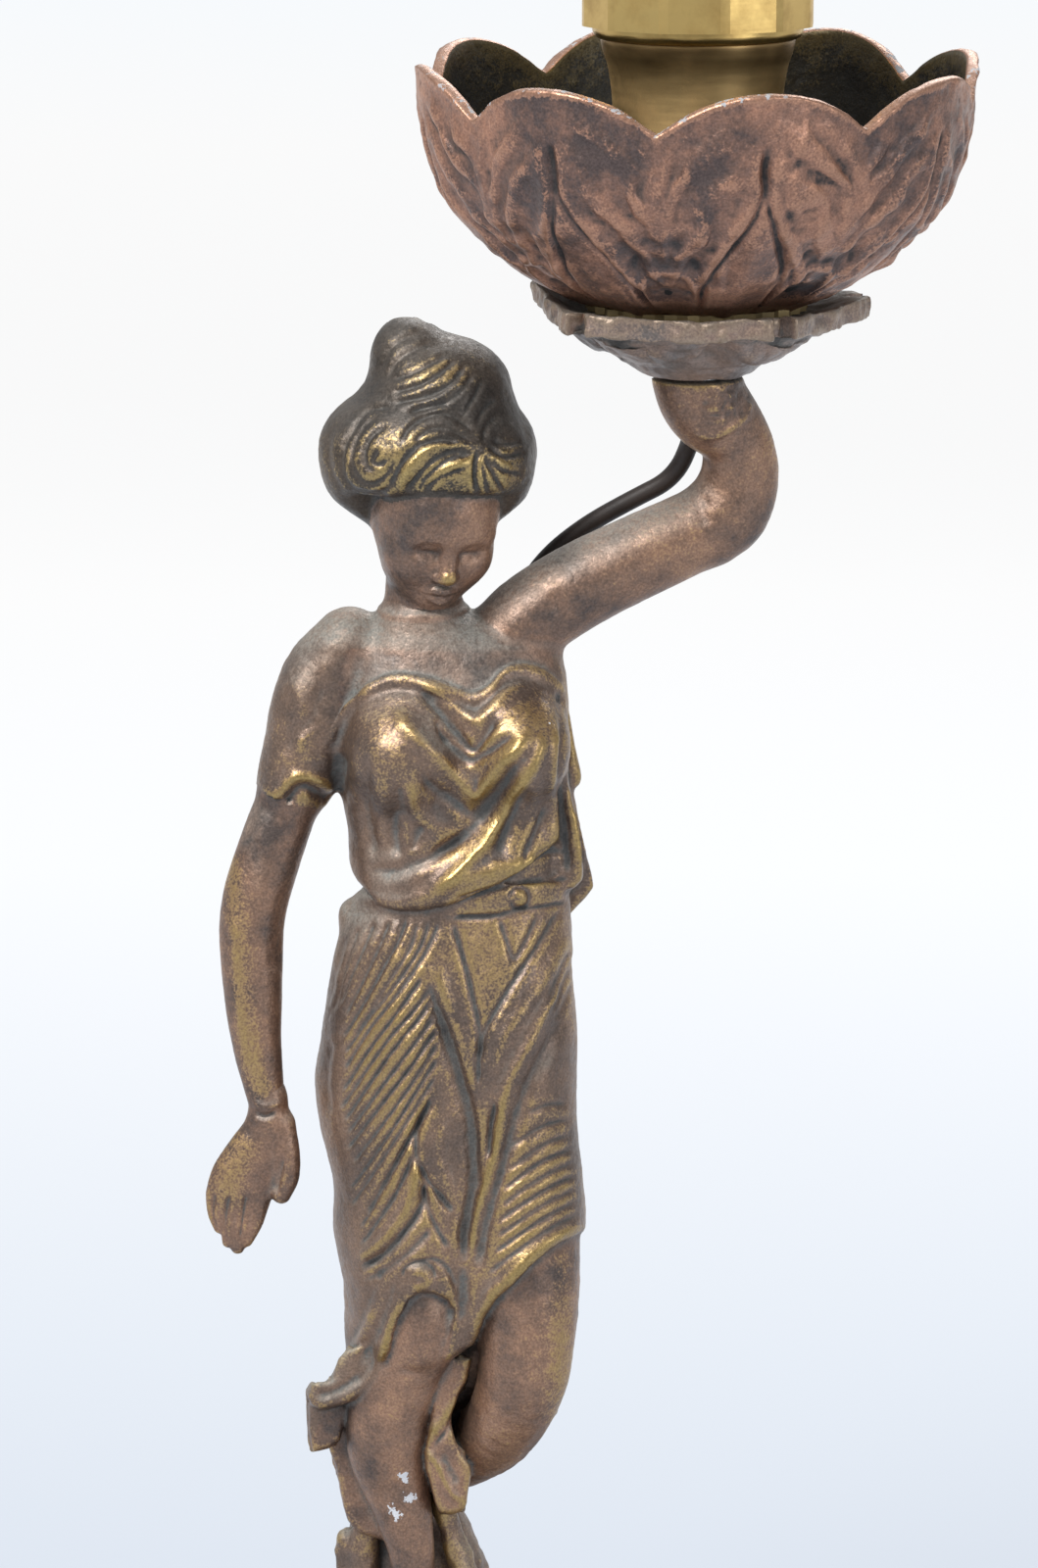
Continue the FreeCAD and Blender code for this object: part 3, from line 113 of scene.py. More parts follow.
class PhotoArea:
    """An area of the photograph, given by its corners in pixels."""

    def __init__(self, corners, margin=60):
        ring = np.array(list(corners) + [corners[0]], float)
        self.low = ring.min(0) - margin
        u, v = [np.arange(a, b + 1) for a, b in zip(self.low, ring.max(0) + margin)]
        u, v = np.meshgrid(u, v, indexing="ij")
        least = np.full(u.shape, 1e9)
        inside = np.zeros(u.shape, bool)
        for (ax, ay), (bx, by) in zip(ring, ring[1:]):
            t = np.clip(((u - ax) * (bx - ax) + (v - ay) * (by - ay)) / ((bx - ax)**2 + (by - ay)**2), 0, 1)
            least = np.minimum(least, np.hypot(u - ax - t * (bx - ax), v - ay - t * (by - ay)))
            if ay != by:
                inside ^= ((ay > v) != (by > v)) & (u < (bx - ax) * (v - ay) / (by - ay) + ax)
        self.distance = np.where(inside, -least, least)

    def at(self, x, y, z):
        """Distance in millimetres outside the area's edge, as the camera sees the points."""
        away = [x - VIEW_FROM[0], y - VIEW_FROM[1], z - VIEW_FROM[2]]
        depth = -(away[1] * VIEW_BACK[1] + away[2] * VIEW_BACK[2])
        u = PHOTO_W / 2 + VIEW_FOCUS * away[0] / depth
        v = PHOTO_H / 2 - VIEW_FOCUS * (away[1] * VIEW_UP[1] + away[2] * VIEW_UP[2]) / depth
        u, v = np.broadcast_arrays(u, v)
        i = np.clip(u - self.low[0], 0, self.distance.shape[0] - 1.001)
        j = np.clip(v - self.low[1], 0, self.distance.shape[1] - 1.001)
        a, b = i.astype(int), j.astype(int)
        i, j = i - a, j - b
        d = self.distance
        found = ((1 - i) * (1 - j) * d[a, b] + i * (1 - j) * d[a + 1, b]
                 + (1 - i) * j * d[a, b + 1] + i * j * d[a + 1, b + 1])
        return found * VIEW_DISTANCE / VIEW_FOCUS


# ---- sculpting grid ------------------------------------------------------------------------------

def eased(stations, per_span):
    """A smooth run of rows through the given rows."""
    rows = np.array(stations, float)
    padded = np.vstack([2 * rows[0] - rows[1], rows, 2 * rows[-1] - rows[-2]])
    t = (np.arange(per_span) / per_span)[:, None]
    parts = []
    for a, b, c, d in zip(padded, padded[1:], padded[2:], padded[3:]):
        parts.append(0.5 * (2 * b + (c - a) * t + (2 * a - 5 * b + 4 * c - d) * t**2 + (3 * b - a - 3 * c + d) * t**3))
    return np.vstack(parts + [rows[-1:]])


def soft_step(x):
    """From 0 to 1 as x goes from 0 to 1, level at both ends."""
    x = np.clip(x, 0.0, 1.0)
    return x * x * (3 - 2 * x)


class Clay:
    """A sculpting grid in millimetres, with a distance at each point and the label of the form nearest to it."""

    def __init__(self, low, high, step):
        self.low, self.step = np.array(low, float), step
        shape = np.ceil((np.array(high) - self.low) / step).astype(int) + 1
        self.axes = [(self.low[i] + step * np.arange(shape[i])).astype(np.float32) for i in range(3)]
        self.field = np.full(shape, FAR, np.float32)
        self.near = np.full(shape, FAR, np.float32)
        self.label = np.zeros(shape, np.uint8)

    def window(self, low, high):
        """The slices of the grid that hold a box."""
        first = np.floor((np.array(low) - self.low) / self.step).astype(int)
        last = np.ceil((np.array(high) - self.low) / self.step).astype(int) + 1
        shape = self.field.shape
        return tuple(slice(min(max(a, 0), n), min(max(b, 0), n)) for a, b, n in zip(first, last, shape))

    def grid(self, window):
        """The coordinates of a window's points, to be broadcast."""
        return np.ix_(*[axis[part] for axis, part in zip(self.axes, window)])

    def add(self, window, distance, blend, label):
        """Joins a form on, with a fillet about blend wide."""
        field, near, labels = self.field[window], self.near[window], self.label[window]
        overlap = np.maximum(blend - np.abs(field - distance), 0) / blend
        field[...] = np.minimum(field, distance) - overlap**2 * (blend / 4)
        closer = distance < near
        near[closer] = distance[closer]
        labels[closer] = label

    def carve(self, window, distance, blend):
        """Cuts a form out."""
        field = self.field[window]
        overlap = np.maximum(blend - np.abs(field + distance), 0) / blend
        field[...] = np.maximum(field, -distance) + overlap**2 * (blend / 4)

    def put(self, window, distance, blend, label, cut):
        if cut:
            self.carve(window, distance, blend)
        else:
            self.add(window, distance, blend, label)

    def ball(self, centre, radii, blend, label, turn=None, cut=False):
        """An ellipsoid, turned by a matrix, joined on or cut out."""
        centre, radii = np.array(centre, float), np.array(radii, float)
        pad = radii.max() + blend + 2 * self.step
        window = self.window(centre - pad, centre + pad)
        delta = [axis - c for axis, c in zip(self.grid(window), centre)]
        if turn is not None:
            delta = [sum(float(turn[j][i]) * delta[j] for j in range(3)) for i in range(3)]
        q = np.sqrt(sum((d / r)**2 for d, r in zip(delta, radii)))
        g = np.sqrt(sum((d / r**2)**2 for d, r in zip(delta, radii)))
        distance = ((q - 1) * (q + 1e-4) / (g + 1e-4 / radii.min())).astype(np.float32)
        self.put(window, distance, blend, label, cut)

    def limb(self, stations, blend, label, reference=(0.0, 1.0, 0.0), per_span=5, cut=False):
        """An oval tube along stations of x, y, z, half width and half depth."""
        path = eased(stations, per_span)
        widest = path[:, 3:].max() + blend + 2 * self.step
        window = self.window(path[:, :3].min(0) - widest, path[:, :3].max(0) + widest)
        distance = np.full([part.stop - part.start for part in window], FAR, np.float32)
        first = np.array([part.start for part in window])
        for a, b in zip(path, path[1:]):
            along = b[:3] - a[:3]
            length = np.linalg.norm(along)
            if length < 1e-6:
                continue
            along /= length
            side = np.cross(along, reference)
            side /= np.linalg.norm(side)
            other = np.cross(side, along)
            pad = max(a[3:].max(), b[3:].max()) + blend + 2 * self.step
            near = self.window(np.minimum(a[:3], b[:3]) - pad, np.maximum(a[:3], b[:3]) + pad)
            local = tuple(slice(part.start - f, part.stop - f) for part, f in zip(near, first))
            delta = [axis - c for axis, c in zip(self.grid(near), a[:3])]
            lengthwise = sum(d * float(w) for d, w in zip(delta, along))
            t = np.clip(lengthwise / length, 0, 1)
            over = lengthwise - t * length
            wide, deep = a[3] + (b[3] - a[3]) * t, a[4] + (b[4] - a[4]) * t
            p = sum(d * float(w) for d, w in zip(delta, side)) / wide
            q = sum(d * float(w) for d, w in zip(delta, other)) / deep
            r = over / ((wide + deep) / 2)
            reach = np.sqrt(p * p + q * q + r * r)
            slope = np.sqrt((p / wide)**2 + (q / deep)**2 + (r * 2 / (wide + deep))**2)
            found = (reach - 1) * (reach + 1e-4) / (slope + 1e-4 / min(a[3:].min(), b[3:].min()))
            distance[local] = np.minimum(distance[local], found)
        self.put(window, distance, blend, label, cut)

    def loft(self, sections, blend, label, floor=None, squareness=2.33):
        """A form through level sections of z, left, right, front and back, cut off below floor(x, y)."""
        rows = eased(sorted(sections), 8)
        low = np.array([rows[:, 1].min(), rows[:, 3].min(), rows[0, 0]]) - blend - 2
        high = np.array([rows[:, 2].max(), rows[:, 4].max(), rows[-1, 0]]) + blend + 2
        window = self.window(low, high)
        x, y, z = self.grid(window)
        left, right, front, back = [np.interp(z, rows[:, 0], rows[:, i]).astype(np.float32) for i in range(1, 5)]
        a, b = (right - left) / 2, (back - front) / 2
        p, q = np.abs(x - (left + right) / 2) / a, np.abs(y - (front + back) / 2) / b
        n = squareness
        reach = (p**n + q**n)**(1 / n) + 1e-4
        slope = reach**(1 - n) * np.sqrt((p**(n - 1) / a)**2 + (q**(n - 1) / b)**2) + 1e-4
        distance = np.maximum((reach - 1) / slope, -np.minimum(a, b))
        distance = np.maximum(distance, np.maximum(rows[0, 0] - z, z - rows[-1, 0]))
        if floor is not None:
            under = floor(x, y) - z
            overlap = np.maximum(2.0 - np.abs(distance - under), 0) / 2.0
            distance = np.maximum(distance, under) + overlap**2 * 0.5
        self.add(window, distance.astype(np.float32), blend, label)

    def slab(self, corners, front, back, blend, label, edge=1.2, cut=False):
        """A piece of cloth between two depths, with its outline given in the photograph."""
        area = PhotoArea(corners)
        middle = to_place(np.array(corners, float), (front + back) / 2)
        pad = np.array([2.0, 0.0, 2.0]) + blend
        low, high = middle.min(0) - pad, middle.max(0) + pad
        low[1], high[1] = front - 1.5 - blend, back + 1.5 + blend
        low[2] -= 0.25 * (back - front)
        high[2] += 0.25 * (back - front)
        window = self.window(low, high)
        x, y, z = self.grid(window)
        across = area.at(x, y, z).astype(np.float32)
        through = np.abs(y - (front + back) / 2) - (back - front) / 2 + 0 * across
        overlap = np.maximum(edge - np.abs(across - through), 0) / edge
        distance = np.maximum(across, through) + overlap**2 * (edge / 4)
        self.put(window, distance, blend, label, cut)

    def borrow(self, other, low, high, blend):
        """Adds another clay's surface and labels within a box."""
        window = self.window(low, high)
        field, label = other.field, other.label
        for i, part in enumerate(window):
            place = (self.axes[i][part] - other.low[i]) / other.step
            first = np.clip(place.astype(int), 0, field.shape[i] - 2)
            share = np.clip(place - first, 0, 1).reshape([-1 if k == i else 1 for k in range(3)])
            field = np.take(field, first, i) * (1 - share) + np.take(field, first + 1, i) * share
            label = np.take(label, first + (np.clip(place - first, 0, 1) > 0.5), i)
        field = field.astype(np.float32)
        closer = field < self.near[window]
        self.add(window, field, blend, BODY)
        self.label[window][closer] = label[closer]

    def skin(self):
        """The surface as points, quads and each quad's label, one point in each cell that it crosses."""
        field = self.field
        inside = field < 0
        corners = np.zeros([n - 1 for n in field.shape], np.uint8)
        for o in np.ndindex(2, 2, 2):
            corners += inside[tuple(slice(a, a - 1 or None) for a in o)]
        cells = np.argwhere((corners > 0) & (corners < 8))
        index = np.full(corners.shape, -1, np.int32)
        index[tuple(cells.T)] = np.arange(len(cells))
        total, count = np.zeros((len(cells), 3)), np.zeros(len(cells))
        for axis in range(3):
            for o in np.ndindex(2, 2):
                start = np.insert(np.array(o), axis, 0)
                end = start + np.eye(3, dtype=int)[axis]
                f0, f1 = field[tuple((cells + start).T)], field[tuple((cells + end).T)]
                crossed = (f0 < 0) != (f1 < 0)
                t = f0[crossed] / (f0[crossed] - f1[crossed])
                total[crossed] += start + t[:, None] * (end - start)
                count[crossed] += 1
        points = self.low + self.step * (cells + total / count[:, None])
        quads = []
        for axis in range(3):
            u, v = [i for i in range(3) if i != axis]
            head = tuple(slice(0, -1) if i == axis else slice(1, -1) for i in range(3))
            tail = tuple(slice(1, None) if i == axis else slice(1, -1) for i in range(3))
            at = np.argwhere(inside[head] != inside[tail])
            at[:, u] += 1
            at[:, v] += 1
            outward = inside[tuple(at.T)]
            ring = []
            for du, dv in ((-1, -1), (0, -1), (0, 0), (-1, 0)):
                cell = at.copy()
                cell[:, u] += du
                cell[:, v] += dv
                ring.append(index[tuple(cell.T)])
            quad = np.stack(ring, 1)
            flip = ~outward if axis != 1 else outward
            quad[flip] = quad[flip][:, ::-1]
            quads.append(quad)
        quads = np.vstack(quads)
        middle = points[quads].mean(1)
        nearest = np.rint((middle - self.low) / self.step).astype(int)
        nearest = np.clip(nearest, 0, np.array(field.shape) - 1)
        return points, quads, self.label[tuple(nearest.T)]


class Skin:
    """A surface of quads whose points are pushed along its normals."""

    def __init__(self, points, quads, labels=None):
        self.points, self.quads = points, quads
        self.labels = labels
        edges = np.vstack([quads[:, [0, 1]], quads[:, [1, 2]], quads[:, [2, 3]], quads[:, [3, 0]]])
        edges = np.sort(edges, 1)
        edges = edges[edges[:, 0] != edges[:, 1]]
        self.edges = np.unique(edges, axis=0)
        n = len(points)
        self.valence = np.maximum(np.bincount(self.edges.ravel(), minlength=n), 1)[:, None]
        self.hollow = np.zeros(n)
        self.crease = np.zeros(n)
        # Worn gold, raised in places for painted highlight.
        self.rub = np.full(n, 0.3)
        self.chips = np.zeros(n)
        if labels is not None:
            self.part = np.zeros(n, np.uint8)
            self.part[quads.ravel()] = np.repeat(labels, 4)

    def around(self, values):
        """The mean of each point's neighbours."""
        n = len(self.points)
        a, b = self.edges.T
        out = np.empty_like(values)
        for k in range(values.shape[1]):
            out[:, k] = np.bincount(a, values[b, k], n) + np.bincount(b, values[a, k], n)
        return out / self.valence

    def relax(self, rounds, share=0.5):
        """Smooths the surface."""
        for _ in range(rounds):
            self.points = self.points + share * (self.around(self.points) - self.points)

    def normals(self):
        p = self.points[self.quads]
        face = np.cross(p[:, 2] - p[:, 0], p[:, 3] - p[:, 1])
        n = len(self.points)
        total = np.stack([sum(np.bincount(self.quads[:, c], face[:, k], n) for c in range(4)) for k in range(3)], 1)
        return total / np.maximum(np.linalg.norm(total, axis=1, keepdims=True), 1e-9)

    def push(self, amount):
        self.points = self.points + self.normals() * amount[:, None]

    def mark_hollows(self, scales):
        """How hollow or raised the surface is, from 0 on ridges to 1 in grooves, and the fine grooves alone. Each
        scale has its rounds of smoothing and its gain."""
        normals = self.normals()
        value = np.zeros(len(self.points))
        smooth = self.points
        done = 0
        for rounds, gain in scales:
            for _ in range(rounds - done):
                smooth = 0.5 * (smooth + self.around(smooth))
            done = rounds
            value += gain * ((smooth - self.points) * normals).sum(1)
            if rounds == scales[0][0]:
                self.crease = np.clip(0.5 + 0.5 * value, 0.0, 1.0)
        self.hollow = np.clip(0.5 + 0.5 * value, 0.0, 1.0)

    def strokes(self, lines, parts=None, facing=0.15):
        """Pushes the points that the camera sees along lines of the photograph. Each line has its pixels, its
        depth in millimetres, negative for a ridge, and its half width in pixels."""
        normals = self.normals()
        seen = soft_step((normals @ VIEW_BACK - facing) / 0.3)
        if parts is not None:
            seen = seen * np.isin(self.part, parts)
        photo = to_photo(self.points)
        amount = np.zeros(len(self.points))
        for pixels, depth, width in lines:
            path = eased(pixels, 4) if len(pixels) > 2 else np.array(pixels, float)
            reach = 2.6 * width
            near = np.flatnonzero((seen > 0) & (photo[:, 0] > path[:, 0].min() - reach)
                                  & (photo[:, 0] < path[:, 0].max() + reach)
                                  & (photo[:, 1] > path[:, 1].min() - reach)
                                  & (photo[:, 1] < path[:, 1].max() + reach))
            if not len(near):
                continue
            p = photo[near]
            steps = np.linalg.norm(np.diff(path, axis=0), axis=1)
            before = np.concatenate([[0], np.cumsum(steps)])
            least, place = np.full(len(near), 1e9), np.zeros(len(near))
            for a, b, start, length in zip(path, path[1:], before, steps):
                t = np.clip((p - a) @ (b - a) / max(length**2, 1e-9), 0, 1)
                d = np.linalg.norm(p - a - t[:, None] * (b - a), axis=1)
                closer = d < least
                least[closer] = d[closer]
                place[closer] = start + t[closer] * length
            end = max(min(0.3 * before[-1], 4 * width), 1e-6)
            taper = soft_step(np.minimum(place, before[-1] - place) / end + 0.15)
            amount[near] -= depth * np.exp(-(least / width)**2) * taper * seen[near]
        self.push(amount)


def lumps(points, size, seed):
    """Smooth noise from -1 to 1, with lumps about size across."""
    q = points / size
    cell = np.floor(q).astype(np.int64)
    t = q - cell
    t = t * t * (3 - 2 * t)
    table = np.random.default_rng(seed).uniform(-1, 1, 4096)
    total = np.zeros(len(points))
    for corner in np.ndindex(2, 2, 2):
        c = cell + corner
        key = (c[:, 0] * 73856093) ^ (c[:, 1] * 19349663) ^ (c[:, 2] * 83492791)
        weight = np.prod(np.where(np.array(corner) == 1, t, 1 - t), axis=1)
        total += weight * table[key & 4095]
    return total


# What a skin's points carry into its material. Its gold mark is worn gold and painted highlight together.
SKIN_MARKS = ("hollow", "crease", "rub", "chips")


def mesh_piece(name, skin, materials, keep=None, replaces=(), which=None):
    """A piece on the lamp from a skin in millimetres, with only the quads to keep."""
    quads = skin.quads if keep is None else skin.quads[keep]
    used, inverse = np.unique(quads.ravel(), return_inverse=True)
    quads = inverse.reshape(quads.shape)
    points = skin.points[used]
    mesh = bpy.data.meshes.new(name)
    mesh.vertices.add(len(points))
    mesh.vertices.foreach_set("co", (points * MM).astype(np.float32).ravel())
    mesh.loops.add(quads.size)
    mesh.loops.foreach_set("vertex_index", quads.astype(np.int32).ravel())
    mesh.polygons.add(len(quads))
    mesh.polygons.foreach_set("loop_start", (np.arange(len(quads)) * quads.shape[1]).astype(np.int32))
    mesh.update(calc_edges=True)
    for key in SKIN_MARKS:
        attribute = mesh.attributes.new(key, "FLOAT", "POINT")
        attribute.data.foreach_set("value", getattr(skin, key)[used].astype(np.float32))
    if which is not None:
        mesh.polygons.foreach_set("material_index", which.astype(np.int32))
    mesh.normals_split_custom_set_from_vertices(skin.normals()[used].tolist())
    piece = bpy.data.objects.new(name, mesh)
    bpy.context.scene.collection.objects.link(piece)
    for item in materials:
        mesh.materials.append(item)
    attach(piece, "lamp")
    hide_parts(*replaces)
    return piece


# ---- materials -----------------------------------------------------------------------------------

class Shade:
    """A material, built a node at a time round its Principled shader."""

    def __init__(self, name, **values):
        self.material = bpy.data.materials.new(name)
        self.material.use_nodes = True
        self.tree = self.material.node_tree
        self.surface = self.tree.nodes["Principled BSDF"]
        self.place = self.node("TexCoord").outputs["Object"]
        self.use(**values)

    def give(self, socket, value):
        if isinstance(value, bpy.types.NodeSocket):
            self.tree.links.new(value, socket)
        elif isinstance(value, tuple) and len(value) == 3 and len(socket.default_value) == 4:
            socket.default_value = (*value, 1.0)
        else:
            socket.default_value = value

    def node(self, kind, inputs=(), **settings):
        made = self.tree.nodes.new("ShaderNode" + kind)
        for key, value in settings.items():
            setattr(made, key, value)
        for key, value in dict(inputs).items():
            self.give(made.inputs[key], value)
        return made

    def noise(self, size, detail=3.0, roughness=0.55, stretch=None):
        """Noise with lumps of about size in metres."""
        vector = self.place
        if stretch:
            vector = self.node("Mapping", {"Vector": vector, "Scale": stretch}).outputs[0]
        made = self.node("TexNoise", {"Vector": vector, "Scale": 0.5 / size, "Detail": detail, "Roughness": roughness})
        return made.outputs[0]

    def ramp(self, value, *stops):
        """A float or colour by steps of (position, value)."""
        made = self.node("ValToRGB", {"Fac": value})
        ramp = made.color_ramp
        while len(ramp.elements) < len(stops):
            ramp.elements.new(0.5)
        for element, (position, colour) in zip(ramp.elements, stops):
            element.position = position
            element.color = (*colour, 1.0) if isinstance(colour, tuple) else (colour, colour, colour, 1.0)
        return made.outputs[0]

    def mix(self, factor, a, b, blend="MIX"):
        made = self.node("Mix", data_type="RGBA", blend_type=blend)
        for socket, value in zip((made.inputs[0], made.inputs[6], made.inputs[7]), (factor, a, b)):
            self.give(socket, value)
        return made.outputs[2]

    def math(self, operation, a, b=0.0, clamp=False):
        made = self.node("Math", operation=operation, use_clamp=clamp)
        self.give(made.inputs[0], a)
        self.give(made.inputs[1], b)
        return made.outputs[0]

    def add(self, a, b, clamp=False):
        return self.math("ADD", a, b, clamp)

    def times(self, a, b, clamp=False):
        return self.math("MULTIPLY", a, b, clamp)

    def swing(self, value, gain, middle=0.5):
        """What a value is over or under its middle, times a gain."""
        return self.times(self.math("SUBTRACT", value, middle), gain)

    def bump(self, height, distance, strength=1.0, after=None):
        inputs = {"Height": height, "Distance": distance, "Strength": strength}
        if after is not None:
            inputs["Normal"] = after
        return self.node("Bump", inputs).outputs[0]

    def use(self, **values):
        """Sets or links the shader's own sockets."""
        for key, value in values.items():
            self.give(self.surface.inputs[key.replace("_", " ")], value)
        return self.material


def patina(name, brown, copper, gold, dark, dust, fill, dust_amount=0.75, gold_amount=0.9, metal=0.7, chip=0.6):
    """Bronze finish over cast metal: copper-brown with a fine grain, filled and dark in the creases, worn to gold
    on the ridges, with grey dust on top. The gold is also painted highlight where the skin's gold mark is raised for
    sheen."""
    s = Shade(name)
    hollow, crease, rub, chips = [s.node("Attribute", attribute_name=key).outputs["Fac"] for key in SKIN_MARKS]
    broad, middle = s.noise(0.011, 2.0), s.noise(0.0028, 3.0, 0.6)
    fine, speck = s.noise(0.00042, 2.0, 0.6), s.noise(0.0002, 1.0, 0.5)
    mottle = s.add(s.times(broad, 0.5), s.times(middle, 0.38))
    mottle = s.add(mottle, s.times(fine, 0.12))
    # Worn gold on the ridges, plus the skin's gold mark, which is part real rubbing and part painted highlight.
    wear_and_sheen = s.times(s.math("SUBTRACT", 0.5, hollow), 1.9)
    wear_and_sheen = s.add(wear_and_sheen, s.swing(rub, 1.1))
    wear_and_sheen = s.add(wear_and_sheen, s.swing(mottle, 1.7))
    wear_and_sheen = s.add(wear_and_sheen, s.swing(fine, 0.35))
    wear_and_sheen = s.add(wear_and_sheen, s.swing(speck, 0.8), clamp=True)
    colour = s.mix(s.ramp(mottle, (0.4, 0.0), (0.6, 1.0)), brown, copper)
    tan = tuple(0.6 * c + 0.4 * g for c, g in zip(copper, gold))
    colour = s.mix(s.times(s.ramp(wear_and_sheen, (0.0, 0.0), (0.26, 1.0)), 0.8), colour, tan)
    gilt_and_sheen = s.times(s.ramp(wear_and_sheen, (0.1, 0.0), (0.75, 1.0)), gold_amount)
    colour = s.mix(gilt_and_sheen, colour, gold)
    sunk = s.add(hollow, s.swing(mottle, 0.5))
    filled = s.times(s.ramp(sunk, (0.53, 0.0), (0.78, 1.0)), s.ramp(fine, (0.3, 0.55), (0.6, 0.95)))
    colour = s.mix(filled, colour, fill)
    lines = s.add(crease, s.swing(middle, 0.3))
    colour = s.mix(s.times(s.ramp(lines, (0.57, 0.0), (0.8, 1.0)), 0.85), colour, dark)
    normal = s.node("NewGeometry").outputs["Normal"]
    up = s.node("SeparateXYZ", {"Vector": normal}).outputs["Z"]
    settled = s.add(up, s.swing(mottle, 0.8))
    settled = s.add(settled, s.times(s.math("SUBTRACT", 0.25, rub), 1.5))
    settled = s.times(s.ramp(settled, (0.2, 0.0), (0.85, 1.0)), s.ramp(fine, (0.25, 0.5), (0.6, 1.0)))
    settled = s.times(settled, dust_amount, clamp=True)
    colour = s.mix(settled, colour, dust)
    colour = s.mix(0.7, colour, s.ramp(speck, (0.3, 0.5), (0.7, 1.0)), "MULTIPLY")
    chipped = s.add(chips, s.swing(s.noise(0.0009, 3.0, 0.7), 4.0))
    chipped = s.times(s.ramp(chipped, (0.66, 0.0), (0.74, 1.0)), s.ramp(chips, (0.1, 0.0), (0.3, 1.0)))
    colour = s.mix(chipped, colour, (chip, chip, chip * 1.03))
    matt = s.math("MAXIMUM", s.math("MAXIMUM", settled, chipped), s.times(filled, 0.8))
    roughness = s.add(s.ramp(fine, (0.3, 0.32), (0.7, 0.48)), s.times(matt, 0.35))
    roughness = s.math("SUBTRACT", roughness, s.times(gilt_and_sheen, 0.07), clamp=True)
    bare = s.math("SUBTRACT", 1.0, matt, clamp=True)
    metallic = s.times(bare, s.add(s.times(gilt_and_sheen, 0.35), metal), clamp=True)
    grain = s.bump(s.noise(0.0012, 3.0, 0.6), 0.0003, 0.35)
    grain = s.bump(fine, 0.00016, 0.6, grain)
    return s.use(Base_Color=colour, Roughness=roughness, Metallic=metallic, Normal=grain)


def brass(name, colour, tarnish, roughness=0.24, turned=True, shade_band=None):
    """Satin brass with turning marks and brown tarnish, and painted shade that deepens between two heights and stays
    full above them.
    """
    s = Shade(name)
    spots = s.ramp(s.noise(0.004, 5.0, 0.65), (0.45, 0.0), (0.75, 1.0))
    tone = s.mix(s.times(spots, 0.55), colour, tarnish)
    if shade_band:
        # Painted shade: darker from the lower height to the upper.
        height = s.node("SeparateXYZ", {"Vector": s.place}).outputs["Z"]
        height = s.add(height, s.swing(s.noise(0.006, 3.0), 0.008))
        over = s.node("MapRange", {"Value": height, "From Min": shade_band[0], "From Max": shade_band[1]}).outputs[0]
        tone = s.mix(s.times(over, 0.85), tone, tuple(0.3 * c for c in tarnish))
    marks = s.noise(0.0009, 2.0, 0.5, (0.12, 0.12, 1.0) if turned else None)
    rough = s.add(s.times(marks, 0.16), s.times(spots, 0.12))
    rough = s.add(rough, roughness, clamp=True)
    normal = s.bump(marks, 0.00006, 0.5)
    return s.use(Base_Color=tone, Roughness=rough, Metallic=1.0, Normal=normal)


def plain(name, colour, roughness, metallic=0.0, grain=0.0006, depth=0.00008, spread=0.25):
    """A surface of one colour with fine variation in tone, gloss and height."""
    s = Shade(name)
    mottle = s.noise(grain * 6, 3.0)
    fine = s.noise(grain, 3.0, 0.6)
    pale = tuple(min(1.0, c * (1 + spread)) for c in colour)
    deep = tuple(c * (1 - spread) for c in colour)
    tone = s.mix(s.ramp(mottle, (0.35, 0.0), (0.65, 1.0)), deep, pale)
    rough = s.add(s.times(fine, 0.2), roughness - 0.1, clamp=True)
    return s.use(Base_Color=tone, Roughness=rough, Metallic=metallic, Normal=s.bump(fine, depth, 0.6))


# Each patina has its brown, copper, gold, dark, dust and fill.
DUST = (0.26, 0.262, 0.236)
FILL = (0.13, 0.131, 0.123)
DARK = (0.02, 0.019, 0.02)
GOLD = (0.54, 0.375, 0.15)
BRONZE = patina("bronze", (0.17, 0.124, 0.1), (0.33, 0.212, 0.145), GOLD, DARK, DUST, FILL, gold_amount=0.85)
SKIN_BRONZE = patina("bronze_skin", (0.135, 0.102, 0.088), (0.43, 0.25, 0.162), GOLD, DARK, DUST, FILL)
HAIR_BRONZE = patina("bronze_hair", (0.08, 0.068, 0.058), (0.14, 0.105, 0.078), (0.6, 0.43, 0.18),
                     (0.028, 0.026, 0.024), (0.105, 0.1, 0.092), (0.075, 0.073, 0.066),
                     dust_amount=0.5, gold_amount=0.92)
COPPER = patina("copper_bronze", (0.135, 0.096, 0.086), (0.52, 0.268, 0.175), (0.52, 0.29, 0.19),
                (0.02, 0.018, 0.018), (0.25, 0.23, 0.205), (0.045, 0.04, 0.039),
                dust_amount=0.3, gold_amount=0.35, chip=0.36)
PLATE_BRONZE = patina("plate_bronze", (0.2, 0.165, 0.145), (0.36, 0.24, 0.18), (0.36, 0.28, 0.2),
                      (0.05, 0.045, 0.04), (0.3, 0.29, 0.26), (0.13, 0.125, 0.11),
                      dust_amount=0.7, gold_amount=0.6, metal=0.4)
# The bowl's inside, its dust too, is coloured near black: painted shade in the bowl's hollow.
BOWL_INSIDE_SHADED = patina("bowl_inside_shaded", (0.014, 0.013, 0.011), (0.024, 0.021, 0.014), (0.16, 0.12, 0.05),
                     (0.006, 0.006, 0.006), (0.05, 0.05, 0.045), (0.01, 0.01, 0.009), gold_amount=0.5, metal=0.3)
BRASS = brass("brass", (0.7, 0.49, 0.18), (0.32, 0.17, 0.05))
